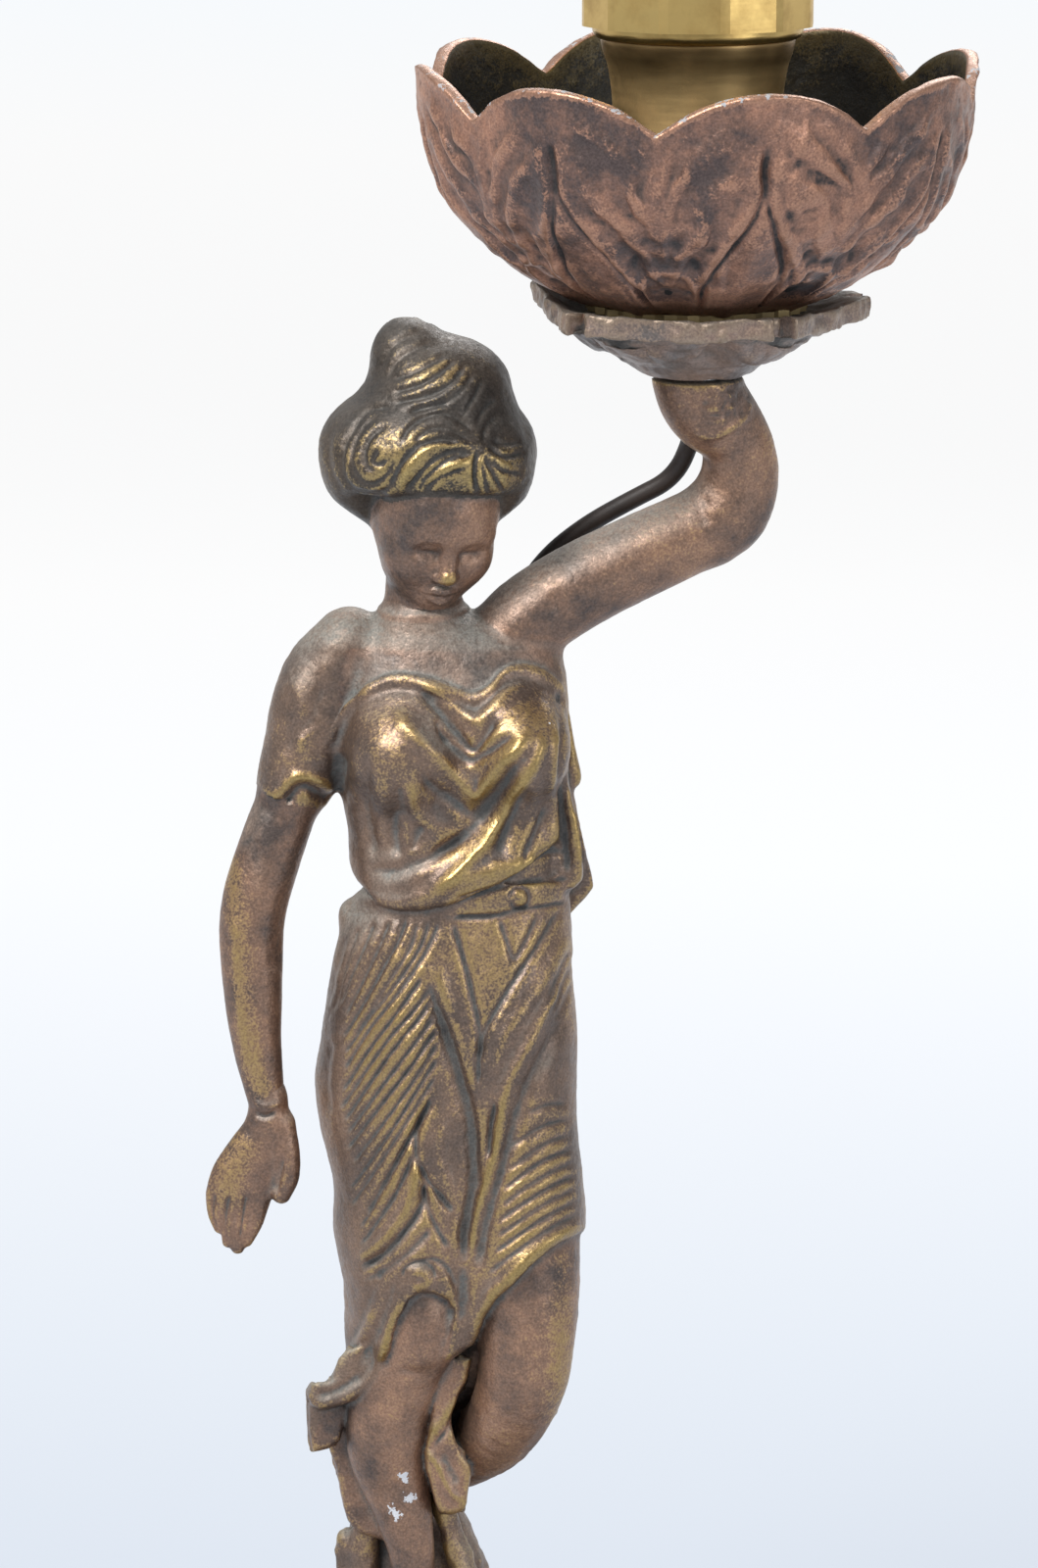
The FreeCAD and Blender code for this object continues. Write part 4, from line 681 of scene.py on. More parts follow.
# The cup's top carries a band of painted shade.
CUP_BRASS = brass("cup_brass", (1.0, 0.7, 0.32), (0.62, 0.38, 0.16), 0.34, shade_band=(0.3425, 0.3495))
SEAT_BRASS = brass("seat_brass", (0.4, 0.31, 0.16), (0.12, 0.1, 0.07), 0.42, False)
IRON = plain("iron", (0.06, 0.06, 0.06), 0.7, 0.6, 0.0012, 0.0003)
STEEL = plain("steel", (0.5, 0.5, 0.5), 0.35, 1.0)
PORCELAIN = plain("porcelain", (0.75, 0.73, 0.68), 0.5, spread=0.06)
BOARD = plain("board", (0.2, 0.12, 0.06), 0.85, spread=0.3)
INSULATION = plain("insulation", (0.03, 0.022, 0.018), 0.42, spread=0.2)
FLEX = plain("flex", (0.03, 0.021, 0.017), 0.5, spread=0.3)
FELT = plain("felt", (0.03, 0.08, 0.04), 0.95, 0.0, 0.0004, 0.0004, 0.4)

SLOT_MATERIAL = {
    "bronze": BRONZE, "copper_bronze": COPPER, "brass": BRASS, "iron": IRON, "steel": STEEL,
    "porcelain": PORCELAIN, "board": BOARD, "insulation": INSULATION, "flex": FLEX, "felt": FELT,
}
for part in frame["record"]["subparts"]:
    node = frame["nodes"][part["node"]]
    node.data.materials.clear()
    node.data.materials.append(SLOT_MATERIAL[part["material_slot"]])

frame["nodes"]["seat_ring"].data.materials[0] = SEAT_BRASS

# ---- the figure's forms: z, or x, y, z with half sizes, in millimetres ---------------------------

BODY, LOWERED_ARM, RAISED_ARM, RAISED_HAND, HEAD, HAIR, HAND, ROCK = range(1, 9)

BODICE = [
    (200.0, -20.2, 15.3, -13.2, 12.5), (205.0, -21.6, 17.0, -15.2, 13.4), (211.0, -22.2, 16.4, -15.4, 13.3),
    (217.0, -22.6, 15.6, -14.2, 13.0), (224.0, -23.8, 14.9, -13.8, 13.0), (231.0, -24.4, 14.9, -13.8, 13.5),
    (238.0, -24.8, 14.8, -12.6, 14.0), (244.0, -24.6, 14.2, -10.6, 13.5), (248.5, -22.4, 11.0, -8.4, 12.0),
    (251.5, -18.6, 2.3, -6.4, 9.8), (253.5, -16.4, -3.2, -5.4, 8.0),
]
BREASTS = [((-13.2, -9.8, 231.0), (8.6, 8.8, 8.8)), ((6.6, -9.8, 232.4), (8.4, 8.8, 8.8))]
WAIST = [
    (196.0, -20.6, 15.0, -12.8, 12.2), (203.0, -19.4, 14.6, -12.8, 11.6), (210.0, -18.6, 14.2, -12.6, 11.0),
    (222.0, -18.0, 13.0, -10.0, 10.0),
]
BELT = [(204.4, -19.6, 15.0, -13.6, 12.2), (207.0, -19.4, 15.2, -13.9, 12.2), (209.6, -19.0, 15.0, -13.6, 12.0)]
SKIRT = [
    (204.0, -20.0, 15.0, -12.6, 12.4), (200.0, -22.1, 15.1, -13.5, 13.5), (189.6, -24.4, 14.7, -14.4, 16.0),
    (181.0, -27.0, 14.6, -15.0, 17.5), (172.0, -28.5, 14.8, -15.2, 18.0), (163.5, -27.6, 15.6, -15.4, 17.0),
    (154.7, -25.5, 16.8, -16.0, 16.0), (146.0, -25.5, 17.2, -16.6, 15.0), (137.0, -23.9, 16.5, -16.4, 14.5),
    (128.0, -23.7, 14.5, -14.2, 14.0), (120.0, -23.6, 9.5, -8.0, 13.7), (112.0, -23.8, 3.0, -3.0, 13.5),
    (104.0, -24.0, -1.0, 0.5, 13.8), (93.0, -22.6, -3.4, 2.5, 14.5),
]
HIPS = [
    ((-12.5, -4.0, 188.0), (12.0, 11.2, 20.0)), ((4.0, -4.4, 184.0), (10.6, 11.6, 20.0)),
]
THIGHS = [
    [(-12.0, -4.0, 184.0, 10.0, 10.0), (-12.0, -7.0, 160.0, 10.0, 10.0), (-11.4, -9.6, 138.0, 8.6, 8.6),
     (-11.0, -10.2, 130.0, 7.6, 7.4)],
    [(4.0, -4.4, 180.0, 10.0, 10.4), (6.0, -7.0, 160.0, 10.0, 10.6), (7.6, -9.2, 140.0, 9.2, 9.8)],
]
BACK_HEM_Z = 92.0
BELT_Z = 208.0
NECK_BASE_Z = 253.0
# Above this height a painted highlight runs down the bare leg's right edge.
KNEE_SHINE_FROM_Z = 105.0
# Where the photograph shows bare leg under the lifted hem.
BARE_LEGS = [
    (330, 1440), (352, 1431), (367, 1423), (381, 1410), (390, 1393), (395, 1378), (397, 1359), (404, 1343),
    (416, 1326), (427, 1319), (443, 1319), (456, 1325), (464, 1338), (463, 1360), (457, 1386), (470, 1380),
    (484, 1371), (493, 1346), (507, 1325), (523, 1311), (539, 1293), (567, 1270), (592, 1258), (640, 1245),
    (640, 1720), (300, 1720), (300, 1500),
]
SUPPORT_LEG = [
    (-9.5, -3.0, 150.0, 9.0, 9.0), (-10.0, -7.8, 140.0, 7.6, 7.6), (-10.6, -9.0, 130.0, 6.8, 6.8),
    (-12.8, -8.2, 122.5, 6.8, 6.7), (-15.4, -7.0, 116.0, 7.3, 7.0), (-16.2, -6.4, 108.3, 7.0, 6.6),
    (-14.9, -6.0, 101.4, 5.9, 5.6), (-13.2, -5.8, 94.4, 4.8, 4.8), (-11.9, -6.0, 87.0, 3.9, 4.3),
    (-11.2, -6.2, 76.0, 3.5, 4.1), (-11.0, -6.4, 67.0, 3.5, 4.3), (-11.0, -7.2, 61.0, 4.1, 5.2),
]
KNEECAP = ((-9.9, -12.6, 131.4), (5.6, 4.6, 7.8))
HIP_KNOB = ((-22.0, -1.0, 201.4), (2.2, 3.4, 2.6))
SUPPORT_FOOT = [
    (-11.0, -1.2, 60.6, 2.4, 2.2), (-11.0, -4.0, 61.8, 4.0, 3.8), (-11.0, -9.0, 62.6, 4.3, 4.5),
    (-11.2, -15.0, 61.0, 4.8, 3.0), (-11.6, -20.5, 60.2, 5.0, 2.1), (-11.7, -22.0, 60.0, 4.4, 1.8),
]
# Each toe's x, how far it reaches to the front, and its radius.
TOES = [(-7.9, 24.2, 1.45), (-10.2, 25.4, 1.15), (-12.1, 25.2, 1.05), (-13.8, 24.3, 1.0), (-15.3, 22.9, 0.95)]
BENT_LEG = [
    (5.6, -3.5, 162.0, 11.0, 11.0), (7.4, -7.0, 142.0, 9.6, 10.0), (7.8, -9.6, 128.0, 8.3, 8.4),
    (6.8, -9.4, 120.0, 7.7, 7.6), (3.0, -5.0, 110.5, 6.7, 6.6), (-3.0, 2.5, 103.0, 5.4, 5.4),
    (-9.5, 8.0, 98.0, 4.2, 4.2),
]
# Loose ends of cloth, each with its corners in the photograph, front, back and blend.
CLOTHS = [
    ([(318, 1410), (339, 1408), (343, 1393), (346, 1385), (352, 1378), (380, 1370), (392, 1384), (382, 1407),
      (364, 1427), (351, 1433), (338, 1436), (326, 1438), (318, 1434), (314, 1424)], -12.0, -5.0, 1.0),
    ([(315, 1432), (316, 1463), (319, 1482), (335, 1478), (347, 1470), (356, 1436), (330, 1434)], -8.0, -4.6, 0.7),
    ([(337, 1470), (336, 1478), (343, 1497), (347, 1517), (350, 1537), (355, 1552), (366, 1564), (400, 1575),
      (390, 1500), (362, 1440), (340, 1442)], -3.5, 6.0, 1.6),
    ([(449, 1389), (446, 1408), (442, 1431), (437, 1463), (433, 1481), (434, 1498), (439, 1514), (444, 1535),
      (449, 1544), (460, 1546), (472, 1542), (476, 1535), (478, 1521), (481, 1505), (480, 1495), (472, 1484),
      (466, 1472), (460, 1454), (461, 1438), (469, 1421), (477, 1408), (482, 1384)], -11.6, -5.0, 0.5),
    ([(560, 694), (574, 687), (578, 701), (580, 726), (585, 753), (590, 778), (593, 792), (592, 799), (585, 806),
      (590, 839), (596, 861), (601, 881), (606, 905), (599, 914), (589, 924), (581, 934), (556, 930)], 5.0, 9.5, 0.6),
    ([(548, 790), (573, 772), (580, 800), (585, 822), (591, 856), (595, 886), (594, 898), (586, 906), (567, 909),
      (548, 895)], -7.0, 8.5, 1.0),
]
LOWERED_ARM_LINE = [
    (-24.0, 1.2, 243.0, 6.4, 6.6), (-27.0, 0.8, 236.0, 5.6, 5.8), (-31.2, 0.1, 225.0, 5.3, 5.5),
    (-36.0, -1.0, 212.0, 5.6, 5.5), (-38.8, -2.0, 201.7, 5.6, 5.3), (-38.9, -3.0, 189.6, 5.1, 4.7),
    (-38.2, -4.0, 179.2, 4.2, 3.8), (-37.0, -4.6, 171.5, 3.4, 3.2), (-36.5, -4.8, 167.0, 2.6, 2.6),
]
SLEEVE = [
    (-22.5, 1.4, 248.0, 6.0, 7.0), (-26.0, 1.2, 243.0, 7.0, 7.6), (-28.0, 0.9, 237.0, 7.5, 7.8),
    (-29.4, 0.5, 230.5, 7.3, 7.5), (-30.8, 0.2, 226.0, 6.7, 7.0),
]
UPPER_ARM = [
    (2.0, 1.0, 245.5, 7.0, 7.0), (8.0, 2.0, 252.0, 7.4, 7.4), (17.0, 3.0, 257.8, 7.3, 7.2),
    (27.0, 4.2, 262.6, 7.1, 7.0), (35.0, 5.2, 266.2, 6.9, 6.8), (40.5, 5.8, 269.5, 6.2, 6.2),
    (43.0, 6.0, 271.4, 3.8, 3.8),
]
FOREARM = [
    (40.0, 5.6, 266.6, 5.0, 5.0), (42.6, 5.8, 270.5, 6.5, 6.4), (43.9, 5.6, 276.0, 6.6, 6.4),
    (43.5, 4.2, 281.6, 6.0, 5.8), (41.4, 2.6, 287.3, 5.3, 5.1), (39.4, 1.4, 290.8, 4.6, 4.6),
]
RAISED_HAND_LINE = [
    (42.0, 3.2, 283.2, 4.0, 4.0), (40.4, 1.9, 285.4, 5.7, 5.7), (38.7, 1.0, 287.6, 6.7, 6.7),
    (37.3, 0.4, 290.2, 7.2, 7.2), (36.6, 0.1, 292.8, 7.5, 7.5), (36.2, 0.0, 296.0, 7.7, 7.7),
]
SHOULDER_BROOCH = ((-21.6, 2.0, 251.6), (3.4, 2.6, 1.9))
NECK = [
    (-10.0, 0.6, 244.0, 8.0, 8.0), (-9.8, 1.1, 250.0, 6.8, 6.9), (-9.6, 1.5, 256.0, 6.5, 6.6),
    (-9.3, 2.2, 262.0, 6.5, 6.6), (-9.0, 3.0, 270.0, 6.5, 6.5),
]

# Strokes, each with its pixels, depth in millimetres and half width in pixels.
BODICE_STROKES = [
    ([(428, 704), (446, 722), (463, 744), (474, 760), (481, 765), (486, 761), (498, 744), (508, 729)], 0.95, 5),
    ([(420, 694), (446, 706), (468, 724), (485, 736), (502, 724), (520, 706), (540, 698)], -0.7, 7),
    ([(446, 742), (462, 762), (478, 776), (492, 770), (510, 758), (526, 748)], 0.9, 5),
    ([(444, 732), (452, 748), (462, 760)], 0.5, 4),
    ([(404, 722), (416, 744), (436, 764), (455, 782), (472, 798), (487, 810), (504, 794), (524, 770), (544, 744)],
     -1.2, 9),
    ([(428, 782), (441, 804), (460, 818), (482, 832), (500, 814), (514, 792), (530, 770)], 1.1, 8),
    ([(440, 812), (452, 834), (468, 842), (484, 838)], 0.6, 8),
    ([(530, 778), (512, 812), (488, 840), (464, 860), (434, 876)], 1.0, 7),
    ([(556, 744), (547, 772), (528, 806), (506, 845), (484, 873), (461, 894), (436, 910)], -1.3, 8),
    ([(538, 800), (524, 828), (514, 852), (508, 880)], 1.1, 8),
    ([(558, 820), (548, 846), (538, 868), (532, 886)], 0.5, 4), ([(548, 824), (536, 852), (526, 876)], -0.3, 4),
    ([(568, 736), (564, 780), (564, 820), (566, 864)], -0.8, 6),
    ([(404, 822), (402, 850), (406, 876)], 0.6, 6), ([(415, 830), (416, 856), (424, 880)], -0.4, 6),
    ([(391, 782), (390, 817), (395, 864)], -0.5, 8),
    ([(374, 764), (373, 823), (384, 879)], 0.6, 6),
    ([(418, 795), (423, 823), (432, 838), (447, 848)], -0.7, 7),
    ([(408, 800), (410, 820), (412, 838)], 0.35, 6),
    ([(437, 838), (426, 852), (419, 872)], 0.4, 5),
    ([(376, 884), (398, 890), (423, 882), (453, 868), (482, 848)], 0.7, 7),
    ([(366, 906), (385, 918), (409, 921), (438, 914), (467, 900), (503, 888), (532, 881), (561, 866)], -0.6, 8),
    ([(570, 700), (575, 730), (574, 765), (572, 800), (576, 850), (580, 895)], 0.9, 5),
    ([(586, 820), (591, 856), (594, 886)], -0.45, 5), ([(540, 876), (560, 868), (578, 872)], 0.5, 4),
]
NECKLINE = [
    (330, 760), (344, 738), (356, 717), (374, 701), (400, 690), (432, 693), (462, 703), (482, 709), (500, 701),
    (514, 685), (532, 679), (553, 684), (570, 697), (580, 712),
]
SLEEVE_STROKES = [
    ([(322, 742), (303, 760), (285, 782), (271, 829)], -0.6, 9),
    ([(332, 695), (320, 730), (302, 752), (288, 776)], 0.5, 9),
    ([(304, 752), (288, 780), (279, 808)], 0.5, 8),
    ([(274, 830), (288, 806), (304, 792), (328, 797), (347, 811)], -0.7, 6),
    ([(278, 848), (294, 818), (308, 804), (328, 812), (345, 826)], 0.9, 6),
    ([(308, 655), (322, 685), (332, 722)], 0.35, 10),
    ([(356, 650), (352, 690), (343, 735), (336, 775)], -0.35, 9),
    ([(372, 668), (362, 702), (352, 745), (350, 800)], 0.4, 7),
    ([(298, 690), (306, 715), (312, 740)], -0.3, 9),
    ([(346, 765), (346, 800), (346, 832)], 0.8, 7),
    ([(318, 640), (334, 655), (352, 660)], -0.3, 8),
]
BELT_STROKES = [
    ([(462, 919), (503, 908), (540, 899), (582, 897)], 0.45, 3),
    ([(462, 936), (503, 935), (532, 929), (580, 921)], 0.5, 3),
    ([(519, 917), (524, 908), (530, 906), (537, 908), (541, 917), (537, 926), (530, 928), (524, 926), (519, 917)],
     0.5, 2.6),
    ([(527, 917), (530, 914), (533, 917), (530, 920), (527, 917)], -0.3, 4),
]
SKIRT_FAN = [
    ([(382, 939), (371, 966), (356, 998), (345, 1026)], 0.4, 3.4),
    ([(398, 938), (388, 962), (370, 1000), (350, 1038)], 0.4, 3.4),
    ([(415, 936), (406, 960), (388, 992), (368, 1027), (348, 1060)], 0.5, 3.4),
    ([(426, 940), (418, 968), (400, 996), (378, 1030), (358, 1058)], 0.35, 3),
    ([(438, 939), (430, 964), (414, 990), (393, 1018), (374, 1041), (350, 1076)], 0.5, 3.4),
    ([(448, 940), (440, 960), (429, 980), (413, 1004), (394, 1028), (375, 1052), (350, 1092)], 0.45, 3.4),
    ([(431, 997), (412, 1024), (394, 1048), (374, 1074), (348, 1114)], 0.5, 3.4),
    ([(438, 1010), (422, 1032), (400, 1056), (376, 1088), (346, 1132)], 0.45, 3.4),
    ([(440, 1022), (424, 1044), (404, 1068), (382, 1098), (350, 1144)], 0.5, 3.4),
    ([(444, 1037), (418, 1072), (390, 1108), (352, 1158)], 0.45, 3.4),
    ([(446, 1050), (420, 1088), (392, 1123), (352, 1174)], 0.5, 3.4),
    ([(447, 1064), (426, 1098), (398, 1137), (358, 1188)], 0.45, 3.4),
    ([(447, 1080), (424, 1116), (398, 1156), (372, 1192), (354, 1216)], 0.5, 3.4),
    ([(445, 1098), (422, 1134), (400, 1168), (378, 1200), (356, 1232)], 0.45, 3.4),
    ([(442, 1118), (424, 1150), (404, 1184), (371, 1240)], 0.5, 3.4),
    ([(432, 1140), (416, 1168), (396, 1204), (366, 1254)], 0.4, 3.2),
    ([(366, 945), (352, 985), (338, 1034)], 0.35, 3.6),
    ([(352, 955), (342, 990), (332, 1030)], 0.3, 3.6),
    ([(338, 1060), (332, 1100), (336, 1140)], 0.3, 5),
    ([(423, 1177), (410, 1206), (396, 1230), (366, 1272)], 0.55, 4),
    ([(430, 1172), (424, 1200), (417, 1227), (403, 1252), (385, 1271), (362, 1288)], -0.5, 6),
    ([(434, 1204), (430, 1232), (414, 1256), (394, 1278), (366, 1296)], 0.7, 5),
    ([(432, 1206), (436, 1227), (441, 1243), (452, 1264), (460, 1274)], 0.5, 4),
    ([(444, 1122), (429, 1147), (424, 1171), (432, 1197), (450, 1221), (464, 1238)], 0.65, 4),
    ([(453, 1140), (447, 1170), (452, 1198), (464, 1222)], -0.35, 7),
    ([(444, 1250), (424, 1272), (400, 1292), (366, 1310)], 0.35, 5),
]
SKIRT_CENTRE = [
    ([(438, 1000), (442, 1018), (452, 1044), (462, 1078), (472, 1114), (479, 1150), (482, 1189), (479, 1224),
      (474, 1256), (474, 1290)], 0.9, 6),
    ([(442, 1010), (458, 1060), (476, 1130), (484, 1189), (478, 1240), (474, 1290)], 0.7, 14),
    ([(478, 1190), (474, 1230), (464, 1262), (470, 1290)], -0.4, 7),
    ([(446, 980), (452, 1014), (464, 1050), (476, 1090), (485, 1118)], -0.6, 8),
    ([(462, 942), (470, 969), (476, 992), (482, 1018), (488, 1048), (488, 1077), (487, 1112)], 0.7, 3.6),
    ([(509, 936), (517, 960), (525, 978), (536, 962), (550, 932)], 0.5, 3.4),
    ([(572, 928), (550, 964), (526, 999), (508, 1028), (495, 1052), (489, 1083)], 0.7, 4),
    ([(580, 950), (566, 980), (552, 1006), (532, 1032), (514, 1060), (502, 1096)], -0.5, 7),
    ([(582, 968), (570, 996), (556, 1024)], 0.35, 3), ([(583, 985), (573, 1010), (562, 1034)], 0.35, 3),
    ([(584, 1002), (576, 1024), (566, 1044)], 0.35, 3),
    ([(570, 1004), (556, 1030), (541, 1062), (524, 1094), (513, 1124), (508, 1159), (496, 1206), (485, 1241),
      (479, 1285)], -0.8, 6),
    ([(576, 1034), (560, 1068), (542, 1102), (528, 1136), (519, 1170), (506, 1214), (496, 1250), (486, 1296)],
     0.9, 7),
    ([(499, 1184), (500, 1156), (506, 1122)], 0.9, 4),
    ([(488, 1118), (492, 1160), (490, 1210)], -0.4, 6),
]
THIGH_STROKES = [
    ([(583, 1126), (558, 1128), (536, 1138)], 0.4, 3.4),
    ([(584, 1142), (558, 1148), (535, 1161), (520, 1173)], 0.45, 3.4),
    ([(585, 1158), (560, 1166), (538, 1180), (517, 1196)], 0.4, 3.4),
    ([(587, 1172), (561, 1182), (536, 1197), (512, 1216)], 0.5, 3.4),
    ([(588, 1186), (562, 1197), (536, 1213), (509, 1233)], 0.4, 3.4),
    ([(589, 1200), (562, 1212), (534, 1229), (506, 1248)], 0.5, 3.4),
    ([(590, 1213), (562, 1226), (534, 1244), (504, 1264)], 0.4, 3.4),
    ([(591, 1226), (564, 1239), (532, 1259), (502, 1280)], 0.45, 3.4),
    ([(591, 1239), (564, 1253), (530, 1275), (498, 1300)], 0.4, 3.4),
    ([(592, 1250), (567, 1262), (539, 1284), (521, 1303), (504, 1318), (490, 1340), (481, 1368)], -0.55, 5),
]
KNEE_STROKES = [
    ([(410, 1306), (413, 1294), (427, 1288), (441, 1294), (445, 1306)], 0.5, 2.8),
    ([(418, 1306), (427, 1299), (436, 1306), (427, 1313), (418, 1306)], -0.45, 5),
    ([(425, 1286), (445, 1286), (458, 1296), (466, 1316)], 0.4, 3),
    ([(448, 1300), (456, 1312), (462, 1326)], -0.35, 6),
    ([(404, 1300), (396, 1330), (384, 1362), (366, 1396)], 0.5, 6),
    ([(392, 1290), (380, 1320), (366, 1352), (352, 1376)], 0.45, 5),
    ([(384, 1330), (372, 1358), (362, 1382)], -0.4, 6),
    ([(414, 1322), (402, 1344), (393, 1372), (384, 1398), (364, 1419), (344, 1430)], -0.45, 5),
    ([(470, 1290), (473, 1320), (470, 1356)], 0.8, 7),
    ([(486, 1298), (482, 1330), (472, 1362)], -0.35, 6),
    ([(318, 1418), (330, 1424), (350, 1416), (370, 1402)], 0.35, 4),
    ([(322, 1432), (334, 1432), (340, 1424)], -0.25, 5),
]
LOWER_STROKES = [
    ([(434, 1480), (446, 1494), (453, 1510), (462, 1525), (475, 1533)], -0.5, 3.6),
    ([(468, 1424), (458, 1438), (446, 1456), (438, 1470)], -0.45, 5),
    ([(470, 1436), (458, 1456), (444, 1474), (437, 1480)], 0.45, 4),
    ([(450, 1480), (460, 1500), (470, 1516)], 0.4, 5),
    ([(402, 1396), (420, 1402), (440, 1400), (454, 1390)], 0.3, 6),
]
ARM_STROKES = [
    ([(238, 930), (242, 990), (247, 1050), (252, 1095)], -0.3, 6),
    ([(296, 905), (286, 950), (276, 1000)], 0.2, 9),
    ([(268, 850), (252, 900), (240, 950)], 0.2, 9),
]
RAISED_STROKES = [
    ([(722, 505), (716, 520), (722, 540)], 0.3, 8),
    ([(706, 441), (722, 446), (742, 440), (760, 426), (766, 406)], -0.35, 4),
    ([(704, 452), (724, 456), (746, 448), (768, 432)], 0.3, 6),
    ([(560, 604), (572, 622), (580, 645)], 0.3, 8),
]
# Rubbed places and painted gold highlights: the middle in the photograph, the spread in pixels and how much, negative
# where it is less.
RUBBED_AND_SHEEN = [
    ((402, 742), 30, 0.2), ((472, 795), 40, 0.25), ((540, 738), 40, 0.3), ((505, 850), 40, 0.35),
    ((395, 894), 40, -0.35), ((470, 892), 30, 0.35), ((540, 880), 30, 0.25), ((505, 985), 60, 0.25),
    ((430, 1010), 60, 0.15),
    ((405, 1080), 60, 0.1), ((560, 1200), 50, 0.25), ((540, 1290), 36, 0.35), ((410, 1290), 50, -0.1),
    ((350, 1400), 60, -0.12), ((455, 1480), 50, -0.1), ((320, 700), 50, -0.2), ((318, 800), 26, 0.15),
    ((365, 950), 40, -0.12), ((562, 1088), 28, -0.25), ((390, 840), 30, -0.15), ((450, 760), 30, -0.3),
]
# A painted highlight down the lit left side of the lowered arm.
ARM_HIGHLIGHT = [(235, 880), (241, 930), (245, 980), (250, 1040), (258, 1085), (266, 1110)]
# Worn gold with painted highlight on the lowered hand.
HAND_RUB_AND_SHEEN = [(246, 1168), (238, 1192), (232, 1214)]
# White flakes: their middles in the photograph and their half widths in pixels.
CHIPS = [((411, 1511), 8.5), ((420, 1527), 7.0), ((402, 1543), 8.0), ((560, 738), 2.5)]

# ---- the head: its own frame, with x to her left, y back and z up from between the eyes -------------

HAIRLINE_Z = 274.8
NECK_SEAM_Z = 255.6
# How far each skin runs over the neck seam.
NECK_LAP = 0.25
HEAD_AT = np.array([-7.8, -0.8, 269.6])
HEAD_SCALE = 0.93
HEAD_YAW = math.radians(20.0)
HEAD_PITCH = math.radians(20.0)
HEAD_ROLL = math.radians(5.0)


def turn_about(axis, angle):
    c, s = math.cos(angle), math.sin(angle)
    i, j = [(1, 2), (2, 0), (0, 1)][axis]
    matrix = np.eye(3)
    matrix[i, i], matrix[i, j], matrix[j, i], matrix[j, j] = c, -s, s, c
    return matrix


HEAD_TURN = turn_about(2, HEAD_YAW) @ turn_about(1, HEAD_ROLL) @ turn_about(0, HEAD_PITCH)

FACE_BALLS = [
    ((0.0, 3.5, 3.0), (11.6, 12.8, 12.2), 2.0), ((0.0, -1.6, -1.0), (10.3, 9.2, 12.0), 3.0),
    ((0.0, -3.0, -8.2), (7.2, 7.2, 5.4), 4.0), ((0.0, -7.4, -11.6), (3.3, 2.9, 2.6), 3.5),
    ((-5.2, -6.4, -3.8), (4.2, 3.6, 4.2), 3.5), ((5.2, -6.4, -3.8), (4.2, 3.6, 4.2), 3.5),
    ((0.0, -3.0, 5.6), (9.6, 8.2, 7.6), 3.5),
]
EYES = [-3.8, 3.8]
FACE_LINES = [
    ([(-7.0, -8.4, 1.9, 1.2, 1.0), (-3.8, -9.9, 2.9, 1.3, 1.1), (-1.2, -10.5, 2.3, 1.2, 1.0)], 2.8),
    ([(7.0, -8.4, 1.9, 1.2, 1.0), (3.8, -9.9, 2.9, 1.3, 1.1), (1.2, -10.5, 2.3, 1.2, 1.0)], 2.8),
    ([(0.0, -9.9, 2.0, 1.25, 1.3), (0.0, -11.0, -1.6, 1.15, 1.2), (0.0, -12.4, -4.6, 1.35, 1.2)], 1.8),
    ([(-2.7, -10.5, -8.7, 0.45, 0.45), (-0.9, -11.5, -8.2, 0.8, 0.65), (0.0, -11.5, -8.4, 0.7, 0.6),
      (0.9, -11.5, -8.2, 0.8, 0.65), (2.7, -10.5, -8.7, 0.45, 0.45)], 0.5),
    ([(-2.1, -10.5, -9.9, 0.5, 0.5), (0.0, -11.4, -10.2, 1.0, 0.8), (2.1, -10.5, -9.9, 0.5, 0.5)], 0.6),
]
NOSE_BALLS = [((0.0, -12.5, -5.0), (1.45, 1.35, 1.25), 0.9), ((-1.45, -11.3, -5.5), (1.0, 1.15, 0.9), 0.8),
              ((1.45, -11.3, -5.5), (1.0, 1.15, 0.9), 0.8)]
HAIR_BALLS = [
    ((-8.7, 3.0, 282.0), (17.8, 17.6, 11.6), 1.0), ((-6.8, 3.4, 290.4), (12.3, 13.4, 10.2), 3.0),
    ((-12.2, 3.8, 297.2), (6.0, 7.0, 6.2), 3.0), ((-19.4, 0.6, 279.6), (7.4, 10.2, 8.4), 2.5),
    ((1.3, 1.4, 278.6), (7.6, 11.2, 8.2), 2.5), ((-8.2, 8.6, 275.5), (13.0, 12.0, 10.0), 4.0),
    ((-3.6, -8.6, 279.4), (8.8, 4.6, 5.0), 2.5), ((-13.4, -7.4, 279.6), (8.4, 5.4, 5.2), 2.5),
]
TEMPLES = [
    [(-20.8, 1.6, 276.5, 4.0, 5.5), (-19.6, 1.6, 273.2, 2.8, 4.5), (-18.0, 2.0, 269.8, 1.3, 2.6)],
    [(3.6, 1.4, 276.5, 4.0, 5.5), (3.0, 1.4, 273.6, 2.8, 4.5), (2.0, 2.0, 270.6, 1.4, 2.6)],
]
